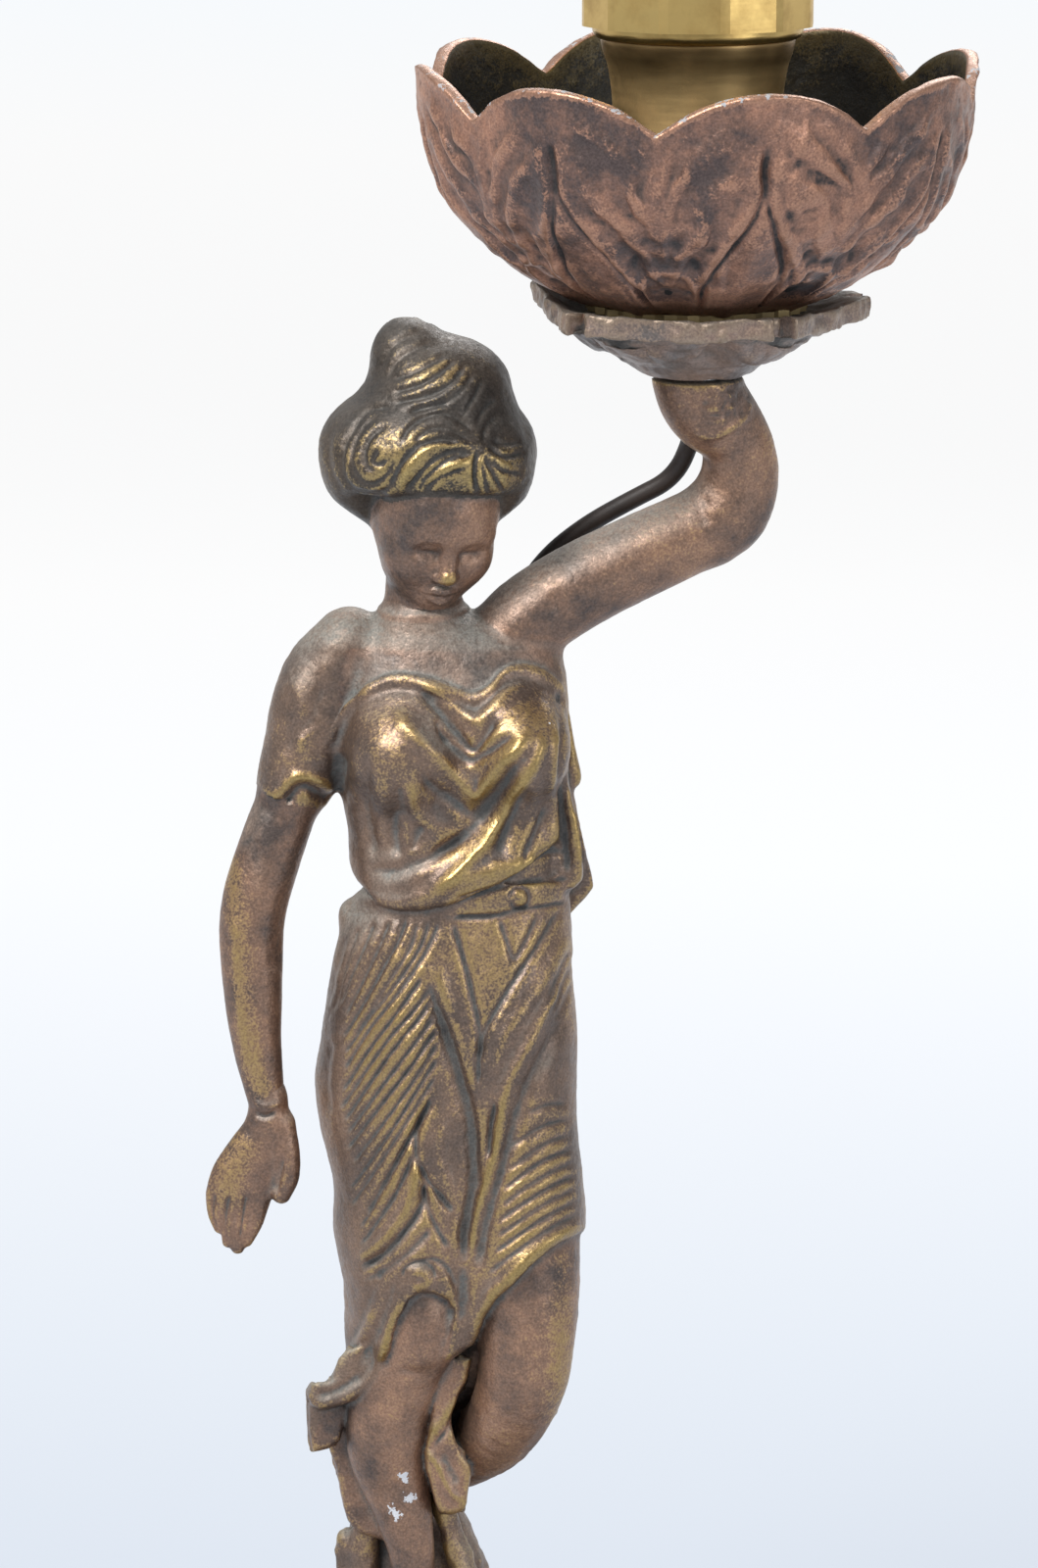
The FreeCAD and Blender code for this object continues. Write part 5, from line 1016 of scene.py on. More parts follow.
HAIR_STROKES = [
    ([(484, 461), (461, 461), (438, 474), (422, 493), (413, 504)], 0.45, 3.6),
    ([(470, 452), (447, 449), (424, 456), (406, 479), (397, 500)], 0.45, 3.6),
    ([(482, 463), (456, 470), (435, 488), (427, 500)], 0.4, 3.2),
    ([(476, 477), (456, 484), (440, 495), (432, 503)], 0.4, 3.2),
    ([(477, 456), (452, 454), (430, 464), (414, 484), (405, 502)], -0.3, 5),
    ([(480, 470), (462, 478), (448, 490), (440, 502)], -0.25, 4.5),
    ([(488, 458), (486, 470), (485, 488), (488, 506)], 0.6, 3.4),
    ([(494, 464), (503, 482), (511, 497), (516, 504)], 0.45, 3.4), ([(492, 470), (495, 490), (500, 506)], 0.3, 3),
    ([(484, 440), (461, 424), (438, 424), (419, 435), (408, 452)], 0.35, 3.2),
    ([(482, 450), (456, 438), (438, 438), (420, 452)], 0.3, 3.2),
    ([(480, 430), (458, 414), (434, 414), (412, 424)], 0.25, 3.2),
    ([(495, 385), (484, 406), (472, 424)], 0.35, 3), ([(509, 406), (495, 417), (486, 434)], 0.35, 3),
    ([(509, 424), (497, 435), (493, 454)], 0.3, 3), ([(500, 449), (518, 453), (534, 450)], 0.3, 3),
    ([(498, 455), (516, 466), (538, 461)], 0.35, 3), ([(500, 468), (513, 480), (534, 484)], 0.35, 3),
    ([(522, 392), (534, 424), (540, 456)], 0.25, 4), ([(510, 372), (520, 384), (530, 404)], 0.25, 4),
    ([(465, 367), (449, 380), (429, 392), (400, 401)], 0.35, 3.2),
    ([(474, 373), (461, 390), (438, 403), (400, 412)], 0.35, 3.2),
    ([(458, 360), (442, 369), (422, 380), (398, 388)], 0.3, 3.2),
    ([(484, 380), (470, 400), (446, 414), (416, 420)], 0.3, 3.2),
    ([(430, 340), (410, 346), (394, 362), (388, 384)], 0.3, 4),
    ([(446, 350), (424, 356), (404, 370), (392, 392)], 0.25, 4),
    ([(401, 415), (376, 419), (360, 438), (350, 461), (350, 488), (364, 502), (387, 504), (399, 495)], 0.4, 3.6),
    ([(387, 424), (371, 435), (360, 456), (360, 481), (376, 495), (394, 486), (403, 468)], 0.35, 3.4),
    ([(396, 434), (380, 444), (372, 460), (374, 476), (386, 482)], 0.3, 3.2),
    ([(388, 456), (380, 470), (386, 474), (399, 468)], 0.35, 3.2),
    ([(340, 430), (334, 456), (338, 486), (352, 504)], 0.3, 4),
]

HAND_LINES = [
    [(-36.6, -4.7, 173.0, 2.2, 2.2), (-36.5, -4.7, 170.6, 3.35, 3.05), (-36.3, -4.8, 168.0, 3.5, 3.1),
     (-36.6, -4.9, 164.0, 4.3, 3.1), (-38.6, -5.0, 160.2, 4.9, 3.1), (-40.7, -5.1, 155.7, 5.6, 3.0),
     (-41.7, -5.2, 152.4, 5.5, 2.6), (-41.9, -5.2, 150.6, 4.6, 2.0)],
    [(-33.8, -5.2, 165.5, 2.1, 2.1), (-33.2, -6.0, 160.4, 2.3, 2.1), (-33.2, -6.5, 156.4, 2.1, 1.9),
     (-34.2, -6.6, 153.4, 1.7, 1.6)],
    [(-37.9, -5.6, 152.6, 1.6, 1.6), (-38.7, -6.1, 148.6, 1.5, 1.4), (-40.3, -5.9, 144.9, 1.15, 1.05)],
    [(-40.4, -5.8, 152.4, 1.5, 1.6), (-41.0, -6.3, 147.8, 1.45, 1.4), (-41.8, -6.0, 143.6, 1.15, 1.05)],
    [(-43.1, -5.7, 152.6, 1.5, 1.55), (-43.3, -6.1, 148.2, 1.4, 1.35), (-43.4, -5.7, 144.6, 1.1, 1.0)],
    [(-45.6, -5.2, 153.2, 1.5, 1.45), (-45.6, -5.5, 149.8, 1.35, 1.3), (-44.9, -5.2, 147.0, 1.05, 1.0)],
]
HAND_STROKES = [
    ([(219, 1216), (217, 1240), (222, 1258)], 0.3, 2.6), ([(234, 1218), (229, 1250), (232, 1270)], 0.3, 2.6),
    ([(252, 1218), (247, 1246), (244, 1268)], 0.3, 2.6), ([(291, 1178), (284, 1200), (280, 1220)], 0.35, 4),
    ([(258, 1134), (270, 1140), (284, 1134)], 0.25, 3), ([(256, 1124), (272, 1130), (288, 1124)], -0.2, 4),
]

# Sections of the rock: z, left, right, front and back.
ROCK_DISC = [
    (33.5, -40.5, 36.5, -37.5, 36.5), (42.0, -39.0, 34.0, -36.0, 35.0), (50.0, -35.5, 28.0, -33.0, 31.5),
    (55.5, -31.0, 21.0, -30.0, 28.0), (58.0, -27.0, 15.0, -28.5, 24.5),
]
STUMP = [
    (52.0, -29.0, 9.0, -2.0, 22.5), (60.0, -26.8, 5.5, 0.2, 20.8), (68.0, -25.8, 3.2, 0.8, 19.2),
    (80.0, -25.0, 2.0, 1.0, 17.6), (88.0, -23.6, -1.5, 1.8, 15.6), (94.0, -22.6, -3.4, 2.5, 14.5),
]
BARK = [
    [(-20.6, -1.2, 58.0, 3.2, 2.6), (-20.8, -0.4, 74.0, 3.0, 2.6), (-20.2, 1.0, 93.0, 2.6, 2.2)],
    [(0.5, -2.0, 58.0, 3.0, 3.0), (-0.5, -2.8, 70.0, 2.6, 2.6), (-2.6, -2.6, 82.0, 2.4, 2.6),
     (-5.4, -2.2, 92.0, 2.2, 2.2), (-7.0, -2.0, 97.0, 1.6, 1.6)],
    [(-24.0, 0.0, 58.0, 2.6, 2.6), (-24.6, 1.0, 72.0, 2.2, 2.4), (-23.6, 3.0, 88.0, 1.8, 2.0)],
    [(-12.0, 19.0, 58.0, 3.2, 2.6), (-10.0, 17.4, 72.0, 2.6, 2.4), (-13.0, 15.6, 90.0, 2.0, 2.0)],
    [(-2.0, 15.0, 58.0, 2.6, 2.6), (-4.0, 13.4, 74.0, 2.2, 2.2), (-6.0, 12.2, 90.0, 1.8, 1.8)],
    [(-20.0, 14.0, 58.0, 2.8, 2.6), (-21.0, 13.0, 76.0, 2.2, 2.2), (-19.0, 12.6, 92.0, 1.8, 1.8)],
]


def bodice_floor(x, y):
    """The blouse's lower edge, which rises to her left in front."""
    line = eased([(-26.0, 211.5), (-20.6, 208.0), (-16.0, 205.2), (-11.0, 204.9), (-4.0, 206.6), (4.0, 210.2),
                  (11.8, 214.8), (18.5, 219.0)], 6)
    front = np.interp(x, line[:, 0], line[:, 1])
    back = 206.5 + 0.6 * np.sin(x * 0.9)
    share = soft_step((6.0 - y) / 10.0)
    return front * share + back * (1 - share)


def sculpt_figure():
    """The trunk with its dress and legs, and both arms."""
    low, high, step = np.array([-50.0, -30.0, 56.0]), np.array([54.0, 22.0, 296.0]), 0.4
    clay = Clay(low, high, step)
    clay.loft(SKIRT, 1.0, BODY, floor=lambda x, y: BACK_HEM_Z + 0.0 * (x + y))
    clay.loft(WAIST, 2.0, BODY)
    for centre, radii in HIPS:
        clay.ball(centre, radii, 6.0, BODY)
    for line in THIGHS:
        clay.limb(line, 6.0, BODY)
    clay.slab(BARE_LEGS, -40.0, 1.5, 0.8, BODY, cut=True)
    clay.loft(BELT, 0.5, BODY)
    upper = Clay(low, high, step)
    upper.loft(BODICE, 1.0, BODY, floor=bodice_floor)
    for centre, radii in BREASTS:
        upper.ball(centre, radii, 5.0, BODY)
    clay.add(tuple(slice(0, n) for n in clay.field.shape), upper.field, 0.4, BODY)
    clay.limb(NECK, 3.5, BODY)
    for line in (SUPPORT_LEG, BENT_LEG):
        clay.limb(line, 0.6, BODY)
    clay.ball(*KNEECAP, 3.0, BODY)
    clay.ball(*HIP_KNOB, 2.0, BODY)
    for corners, front, back, blend in CLOTHS:
        clay.slab(corners, front, back, blend, BODY)
    clay.limb(SUPPORT_FOOT, 1.5, BODY, reference=(0.0, 0.0, 1.0))
    for x, reach, r in TOES:
        tip = 0.8 * r
        toe = [(x, -20.5, 59.2 + r, r, r), (x - 0.2, 1 - reach, 58.6 + r, r, r), (x - 0.2, -reach, 58.2 + r, tip, tip)]
        clay.limb(toe, 0.7, BODY, reference=(0.0, 0.0, 1.0))
    clay.limb(LOWERED_ARM_LINE, 1.0, LOWERED_ARM)
    clay.limb(SLEEVE, 2.5, BODY)
    clay.ball(*SHOULDER_BROOCH, 0.8, BODY)
    clay.limb(UPPER_ARM, 3.5, RAISED_ARM)
    clay.limb(FOREARM, 3.0, RAISED_ARM)
    clay.limb(RAISED_HAND_LINE, 1.6, RAISED_HAND)
    clay.field[:, :, int((HAND_TOP - 0.1 - low[2]) / step):] = 1.0
    return clay


def bare_chest(skin):
    """The skin above the neckline lies lower than the cloth, by photograph line and height."""
    photo = to_photo(skin.points)
    line = eased(NECKLINE, 6)
    edge = np.interp(photo[:, 0], line[:, 0], line[:, 1])
    z = skin.points[:, 2]
    front = soft_step((skin.normals() @ VIEW_BACK + 0.1) / 0.4) * soft_step((7.0 - skin.points[:, 1]) / 3.0)
    sides = soft_step((photo[:, 0] - NECKLINE[0][0]) / 30.0) * soft_step((NECKLINE[-1][0] - photo[:, 0]) / 30.0)
    high = soft_step((z - 225.0) / 4.0) * soft_step((253.0 - z) / 9.0)
    return soft_step((edge - photo[:, 1]) / 5.0) * front * sides * high


def chip(skin):
    """White flakes where the camera sees them."""
    photo = to_photo(skin.points)
    seen = skin.normals() @ VIEW_BACK > 0.2
    for middle, half in CHIPS:
        skin.chips += seen * np.exp(-((photo - middle)**2).sum(1) / half**2)


def dress_figure(skin):
    """Folds, seams and edges on the figure's skin."""
    bare = bare_chest(skin)
    skin.push(-0.6 * bare)
    edges = ((4, -0.35, 6), (14, 0.25, 5))
    skin.strokes([([(u, v + below) for u, v in NECKLINE], depth, width) for below, depth, width in edges], [BODY])
    skin.strokes(BODICE_STROKES + BELT_STROKES, [BODY])
    skin.strokes(SLEEVE_STROKES, [BODY], facing=0.0)
    skin.strokes([(line, 1.25 * depth, 0.85 * width) for line, depth, width in SKIRT_FAN], [BODY], facing=0.0)
    skin.strokes(SKIRT_CENTRE + THIGH_STROKES + KNEE_STROKES + LOWER_STROKES, [BODY], facing=0.0)
    skin.strokes(ARM_STROKES, [LOWERED_ARM])
    skin.strokes(RAISED_STROKES, [RAISED_ARM, RAISED_HAND])
    back_folds(skin)
    x, y, z = skin.points.T
    cloth = (skin.part == BODY) * (1 - bare)
    skin.push(roughness(skin.points) * (0.5 + 0.5 * cloth))
    photo = to_photo(skin.points)
    # Lumps of solder on the raised hand.
    patch = np.exp(-(((photo[:, 0] - 738) / 24)**2 + ((photo[:, 1] - 412) / 20)**2)) * (skin.part == RAISED_HAND)
    skin.push(patch * 0.55 * lumps(skin.points, 1.1, 13))
    legs = PhotoArea(BARE_LEGS).at(x, y, z) < 0
    skin.rub[:] = 0.3
    skin.rub[(skin.part == BODY) & (z > BELT_Z)] = 0.4
    skin.rub[(skin.part == BODY) & (z <= BELT_Z)] = 0.36
    skin.rub[skin.part == LOWERED_ARM] = 0.16
    skin.rub[np.isin(skin.part, (RAISED_ARM, RAISED_HAND))] = 0.27
    # Gold patches, part rubbing and part painted highlight where the metal shines.
    for (u, v), spread, amount in RUBBED_AND_SHEEN:
        add_rub_and_sheen(skin, [(u, v)], spread, amount, skin.part == BODY)
    # Painted highlight down the lit left side of the lowered arm.
    add_rub_and_sheen(skin, ARM_HIGHLIGHT, 14, 0.5, skin.part == LOWERED_ARM)
    skin.rub -= 0.2 * soft_step((400 - photo[:, 0]) / 60.0) * (skin.part == BODY) * (z < BELT_Z)
    skin.rub -= 0.24 * np.maximum(bare, soft_step((z - 246.0) / 4.0)) * (skin.part == BODY)
    skin.rub[legs & (skin.part == BODY)] = 0.2
    # Painted highlight in a stripe down the bare leg's right edge.
    skin.rub += 0.35 * np.exp(-((photo[:, 0] - 572) / 18)**2) * legs * (z > KNEE_SHINE_FROM_Z)
    # Less gold, painted highlight included, on the sides turned away from the view.
    skin.rub[skin.normals() @ VIEW_BACK < 0] -= 0.2
    chip(skin)


def add_rub_and_sheen(skin, line, spread, amount, where):
    """Adds worn gold and painted highlight near a line of the photograph."""
    photo = to_photo(skin.points)
    path = eased(line, 6) if len(line) > 2 else line
    away = np.min([((photo - place)**2).sum(1) for place in path], axis=0)
    skin.rub += amount * np.exp(-away / spread**2) * where


def roughness(points):
    """The casting's uneven skin."""
    return 0.09 * lumps(points, 2.4, 11) + 0.04 * lumps(points, 0.9, 12)


def back_folds(skin):
    """Long folds down the sides and back, which the photograph doesn't show."""
    x, _, z = skin.points.T
    normals = skin.normals()
    behind = soft_step((normals[:, 1] + 0.15) / 0.4) * (skin.part == BODY)
    spread = x + 7.0 + 0.035 * (204.0 - z) * (x + 6.0) / 10.0
    wander = 1.5 * lumps(skin.points * [1.0, 1.0, 0.2], 9.0, 21)
    skirt = soft_step((206.0 - z) / 10.0)
    depth = 0.35 + 0.75 * soft_step((206.0 - z) / 90.0)
    wave = np.abs(np.sin((spread + wander) * 0.62)) - 0.62
    skin.push(-wave * depth * skirt * behind)
    blouse = soft_step((z - 207.0) / 4.0) * soft_step((250.0 - z) / 8.0)
    slant = x + 7.0 + 0.25 * (z - 225.0) * np.sign(x + 6.0)
    wave = np.abs(np.sin((slant + wander) * 0.5)) - 0.62
    skin.push(-wave * 0.45 * blouse * behind)


def sculpt_head(body):
    """The head with its hair, down to where its neck takes over from the body's."""
    low, high, step = np.array([-31.0, -21.0, 246.0]), np.array([13.5, 24.5, 306.0]), 0.3
    clay = Clay(low, high, step)

    def at(place):
        return HEAD_AT + HEAD_TURN @ (HEAD_SCALE * np.array(place, float))

    def scaled(line):
        return [(*at(p[:3]), HEAD_SCALE * p[3], HEAD_SCALE * p[4]) for p in line]

    for centre, radii, blend in FACE_BALLS:
        clay.ball(at(centre), HEAD_SCALE * np.array(radii), blend, HEAD, HEAD_TURN)
    for side in EYES:
        clay.ball(at((side, -11.4, -0.4)), HEAD_SCALE * np.array((2.9, 2.3, 1.8)), 1.6, HEAD, HEAD_TURN, cut=True)
        clay.ball(at((side, -7.7, -0.4)), HEAD_SCALE * np.array((2.2, 2.2, 2.0)), 0.6, HEAD, HEAD_TURN)
        s = math.copysign(1.0, side)
        upper = [(s * 1.5, -9.3, -0.8, 0.45, 0.4), (side, -10.2, 0.45, 0.65, 0.55), (s * 6.2, -8.4, -0.6, 0.45, 0.4)]
        lower = [(s * 1.7, -9.2, -1.1, 0.35, 0.35), (side, -9.8, -2.0, 0.45, 0.4), (s * 6.0, -8.2, -1.0, 0.35, 0.35)]
        for lid in (upper, lower):
            clay.limb(scaled(lid), 0.6, HEAD)
    for line, blend in FACE_LINES:
        clay.limb(scaled(line), blend, HEAD)
    for centre, radii, blend in NOSE_BALLS:
        clay.ball(at(centre), HEAD_SCALE * np.array(radii), blend, HEAD, HEAD_TURN)
    hair = Clay(low, high, step)
    for centre, radii, blend in HAIR_BALLS:
        hair.ball(centre, radii, blend, HEAD)
    # The hair ends at the hairline: over the brow in front, behind the cheeks, and at the nape.
    x, y, z = hair.grid(hair.window(low, high + 1))
    edge = HAIRLINE_Z - 8.0 * soft_step((y + 7.0) / 9.0) + 0 * x
    hair.carve(hair.window(low, high + 1), (z - edge).astype(np.float32), 2.2)
    for line in TEMPLES:
        hair.limb(line, 2.5, HEAD)
    clay.add(clay.window(low, high + 1), hair.field, 1.0, HAIR)
    clay.borrow(body, (-26.0, -16.0, 246.0), (8.0, 18.0, 262.0), 1.0)
    return clay


def back_hair(skin):
    """Waves of hair round the sides and back of the head, swept up to the bun."""
    x, y, z = skin.points.T
    normals = skin.normals()
    away = soft_step((0.15 - normals @ VIEW_BACK) / 0.3) * soft_step((z - 271.0) / 3.0)
    angle = np.arctan2(x + 9.0, y - 3.0)
    wander = lumps(skin.points, 6.0, 31)
    wave = np.abs(np.sin(4.5 * angle + 0.10 * (z - 284.0) + 0.9 * wander)) - 0.6
    skin.push(-0.5 * wave * away)


def sculpt_hand():
    """The lowered hand, apart from its arm at the wrist."""
    clay = Clay((-50.0, -12.0, 138.0), (-28.0, 2.0, 176.0), 0.3)
    for line, blend in zip(HAND_LINES, (1.0, 1.2, 0.8, 0.6, 0.6, 0.6)):
        clay.limb(line, blend, HAND)
    return clay


def sculpt_rock():
    """The rock's disc and its stump behind the legs, cut off level on the base."""
    low, high, step = (-44.0, -41.0, 32.0), (40.0, 40.0, 104.0), 0.8
    clay = Clay(low, high, step)
    clay.loft(ROCK_DISC, 1.0, ROCK)
    clay.loft(STUMP, 5.0, ROCK)
    for line in BARK:
        clay.limb(line, 1.6, ROCK)
    clay.field[:, :, :int((BASE_H - low[2]) / step)] = 1.0
    return clay


def finish_skin(clay, relax):
    points, quads, labels = clay.skin()
    skin = Skin(points, quads, labels)
    skin.relax(relax)
    return skin


clay = sculpt_figure()
figure = finish_skin(clay, 2)
dress_figure(figure)
figure.mark_hollows(((6, 2.2), (40, 0.9)))
height = figure.points[figure.quads, 2].mean(1)
figure.labels[(height > NECK_SEAM_Z + NECK_LAP) & (figure.labels == BODY)] = HEAD
bare = bare_chest(figure) + (PhotoArea(BARE_LEGS).at(*figure.points.T) < -0.2) + (figure.points[:, 2] > NECK_BASE_Z)
bare = bare[figure.quads[:, 0]] > 0.5
for name, label, node in (("figure", BODY, "figure_body"), ("arm_lowered", LOWERED_ARM, "lowered_arm"),
                          ("arm_raised", RAISED_ARM, "raised_arm"), ("hand_raised", RAISED_HAND, "raised_hand")):
    kept = figure.labels == label
    mesh_piece(name, figure, [BRONZE, SKIN_BRONZE], kept, [node], bare[kept] | (label != BODY))

head = finish_skin(sculpt_head(clay), 1)
head.push(-0.6 * bare_chest(head))
head.strokes([(line, 1.2 * depth, width) for line, depth, width in HAIR_STROKES], [HAIR], facing=-0.05)
back_hair(head)
hair = soft_step((head.points[:, 2] - 272.0) / 4.0)
head.push(roughness(head.points) * 0.5 * (1 + hair))
head.mark_hollows(((8, 3.2), (60, 0.9)))
photo = to_photo(head.points)
head.hollow = 0.5 + (head.hollow - 0.5) * (0.4 + 0.6 * hair)
head.rub[:] = 0.22
# Gold on the front of the hair, part rubbing and part painted highlight.
for (u, v), wide, high, amount in (((455, 482), 60, 32, 0.5), ((390, 455), 30, 40, 0.2), ((440, 380), 40, 16, 0.25)):
    head.rub += hair * amount * np.exp(-((photo[:, 0] - u) / wide)**2 - ((photo[:, 1] - v) / high)**2)
nose = HEAD_AT + HEAD_TURN @ (HEAD_SCALE * np.array([0.0, -13.2, -4.8]))
head.rub += 0.8 * np.exp(-((head.points - nose)**2).sum(1) / 1.4**2)
# The sides turned away from the view lose their gold, painted highlight included.
head.rub[head.normals() @ VIEW_BACK < 0] = 0.15
kept = (head.points[head.quads, 2].mean(1) > NECK_SEAM_Z - NECK_LAP) & np.isin(head.labels, (HEAD, HAIR, BODY))
mesh_piece("head_and_hair", head, [SKIN_BRONZE, HAIR_BRONZE], kept, ["head"], head.labels[kept] == HAIR)

hand = finish_skin(sculpt_hand(), 1)
hand.strokes([(line, 1.7 * depth, width) for line, depth, width in HAND_STROKES], [HAND])
hand.push(0.5 * roughness(hand.points))
hand.mark_hollows(((8, 2.2), (50, 0.8)))
hand.rub[:] = 0.2
# Worn gold with painted highlight on the side that faces the view.
add_rub_and_sheen(hand, HAND_RUB_AND_SHEEN, 20, 0.45, hand.normals() @ VIEW_BACK > 0)
mesh_piece("hand_lowered", hand, [SKIN_BRONZE], None, ["lowered_hand"])

stone = finish_skin(sculpt_rock(), 2)
level = soft_step((stone.points[:, 2] - BASE_H - 0.5) / 3.0)
stone.push(level * (1.3 * lumps(stone.points, 9.0, 61) + 0.6 * lumps(stone.points, 3.5, 62)
                    + 0.2 * lumps(stone.points, 1.4, 63)))
stone.mark_hollows(((6, 1.2), (40, 0.4)))
stone.rub[:] = 0.22
mesh_piece("rock_ground", stone, [BRONZE], None, ["rock"])

# ---- turned and formed pieces --------------------------------------------------------------------


def ring_quads(rings, around):
    """Quads of a mesh of rings, each of so many points."""
    i, j = np.meshgrid(np.arange(rings - 1), np.arange(around), indexing="ij")
    k = (j + 1) % around
    return np.stack([i * around + j, i * around + k, (i + 1) * around + k, (i + 1) * around + j], -1).reshape(-1, 4)


def turned_skin(outline, x, y, around=256):
    """A turned surface about the upright through x, y from an outline of radius and z, from below outwards and up."""
    rows = np.array(outline, float)
    angle = 2 * math.pi * np.arange(around) / around
    points = np.stack([x + rows[:, :1] * np.cos(angle), y + rows[:, :1] * np.sin(angle),
                       rows[:, 1:] + 0 * angle], -1).reshape(-1, 3)
    return Skin(points, ring_quads(len(rows), around))


def rings_of(theta, rows):
    """Points of rings round the bowl's upright, from rows of radius and z, each one value or one for each angle."""
    angle = np.radians(theta)
    return np.stack([np.stack([BOWL_X + r * np.cos(angle), r * np.sin(angle), z + 0 * angle], 1)
                     for r, z in rows]).reshape(-1, 3)


def rounded(outline, radius, steps=4):
    """An outline with its corners cut to short curves."""
    rows = np.array(outline, float)
    made = [rows[0]]
    for a, b, c in zip(rows, rows[1:], rows[2:]):
        into, out = np.linalg.norm(b - a), np.linalg.norm(c - b)
        cut = min(radius, 0.45 * into, 0.45 * out)
        p, q = b + (a - b) * cut / into, b + (c - b) * cut / out
        for t in np.linspace(0, 1, steps + 1):
            made.append((1 - t)**2 * p + 2 * t * (1 - t) * b + t * t * q)
    return np.array(made + [rows[-1]])


def thickened(rows, spacing):
    """An outline with points no further apart than spacing."""
    made = [rows[0]]
    for a, b in zip(rows, rows[1:]):
        n = max(1, int(math.ceil(np.linalg.norm(b - a) / spacing)))
        made += [a + (b - a) * k / n for k in range(1, n + 1)]
    return np.array(made)


# The bowl, by height share of its wall.
BOWL_PROFILE = [(0.0, 18.0), (0.057, 23.5), (0.169, 31.0), (0.32, 37.7), (0.47, 42.6), (0.704, 45.9), (1.0, BOWL_R)]
BOWL_AROUND = 1152
BOWL_UP = 96


def petal_place(angle):
    """How far an angle in degrees is from the middle of its petal, from -0.5 to 0.5 of a petal."""
    share = ((angle - PETAL_PHASE) / (360.0 / PETALS)) % 1.0
    return np.where(share > 0.5, share - 1.0, share)


def bowl_skin():
    """The bowl's skin, each point's kind (0 outside, 1 lip, 2 inside, 3 underside) and share of the height."""
    profile = eased(BOWL_PROFILE, 12)
    theta = 360.0 * np.arange(BOWL_AROUND) / BOWL_AROUND
    place = petal_place(theta)
    half = BOWL_R * math.sin(math.pi / PETALS)
    side = np.abs(place) * 2 * half
    arc = (half**2 + PETAL_DEPTH**2) / (2 * PETAL_DEPTH)
    drop = arc - np.sqrt(np.maximum(arc**2 - side**2, 0))
    # The wave's valleys are worn round.
    worn = 2.6
    near = np.maximum(0, worn - (half - side))
    drop = np.minimum(drop, PETAL_DEPTH) - 0.2 * near**2 / worn + 0.8 * (side / half)**2
    top = 1.0 - drop / BOWL_H
    swell = (np.cos(2 * math.pi * place) - 1) / 2
    rows = []
    for k in range(BOWL_UP):
        share = top * (k / (BOWL_UP - 1))**0.9
        r = np.interp(share, profile[:, 0], profile[:, 1]) * (1 + PETAL_BULGE * np.sqrt(share) * swell)
        rows.append((r, share, 0))
    outer_top = rows[-1]
    lip = []
    for t in (0.2, 0.5, 0.8):
        r = outer_top[0] - BOWL_WALL * t
        lip.append((r, outer_top[1] + 0.35 * math.sin(math.pi * t) / BOWL_H, 1))
    inner = []
    floor_share = BOWL_FLOOR_T / BOWL_H
    for k in range(BOWL_UP // 2):
        share = top - (top - floor_share) * k / (BOWL_UP // 2 - 1)
        r = np.interp(share, profile[:, 0], profile[:, 1]) * (1 + PETAL_BULGE * np.sqrt(share) * swell) - BOWL_WALL
        inner.append((np.maximum(r, BOWL_FLOOR_R), share, 2))
    inner += [(r, floor_share, 2) for r in (14.0, 9.0, NIPPLE_R)]
    rows = [(NIPPLE_R, 0.0, 3), (12.0, 0.0, 3)] + rows + lip + inner
    points = rings_of(theta, [(r, BOWL_BOTTOM + s * BOWL_H) for r, s, _ in rows])
    # The casting leans a little to the front.
    points[:, 2] += BOWL_LEAN * points[:, 1] * (points[:, 2] - BOWL_BOTTOM) / BOWL_H
    kind = np.repeat([k for _, _, k in rows], BOWL_AROUND)
    share = np.concatenate([np.broadcast_to(s / top, theta.shape) for _, s, _ in rows])
    skin = Skin(points, ring_quads(len(rows), BOWL_AROUND))
    carve_bowl(skin, np.tile(place, len(rows)), share, kind)
    return skin, kind, share


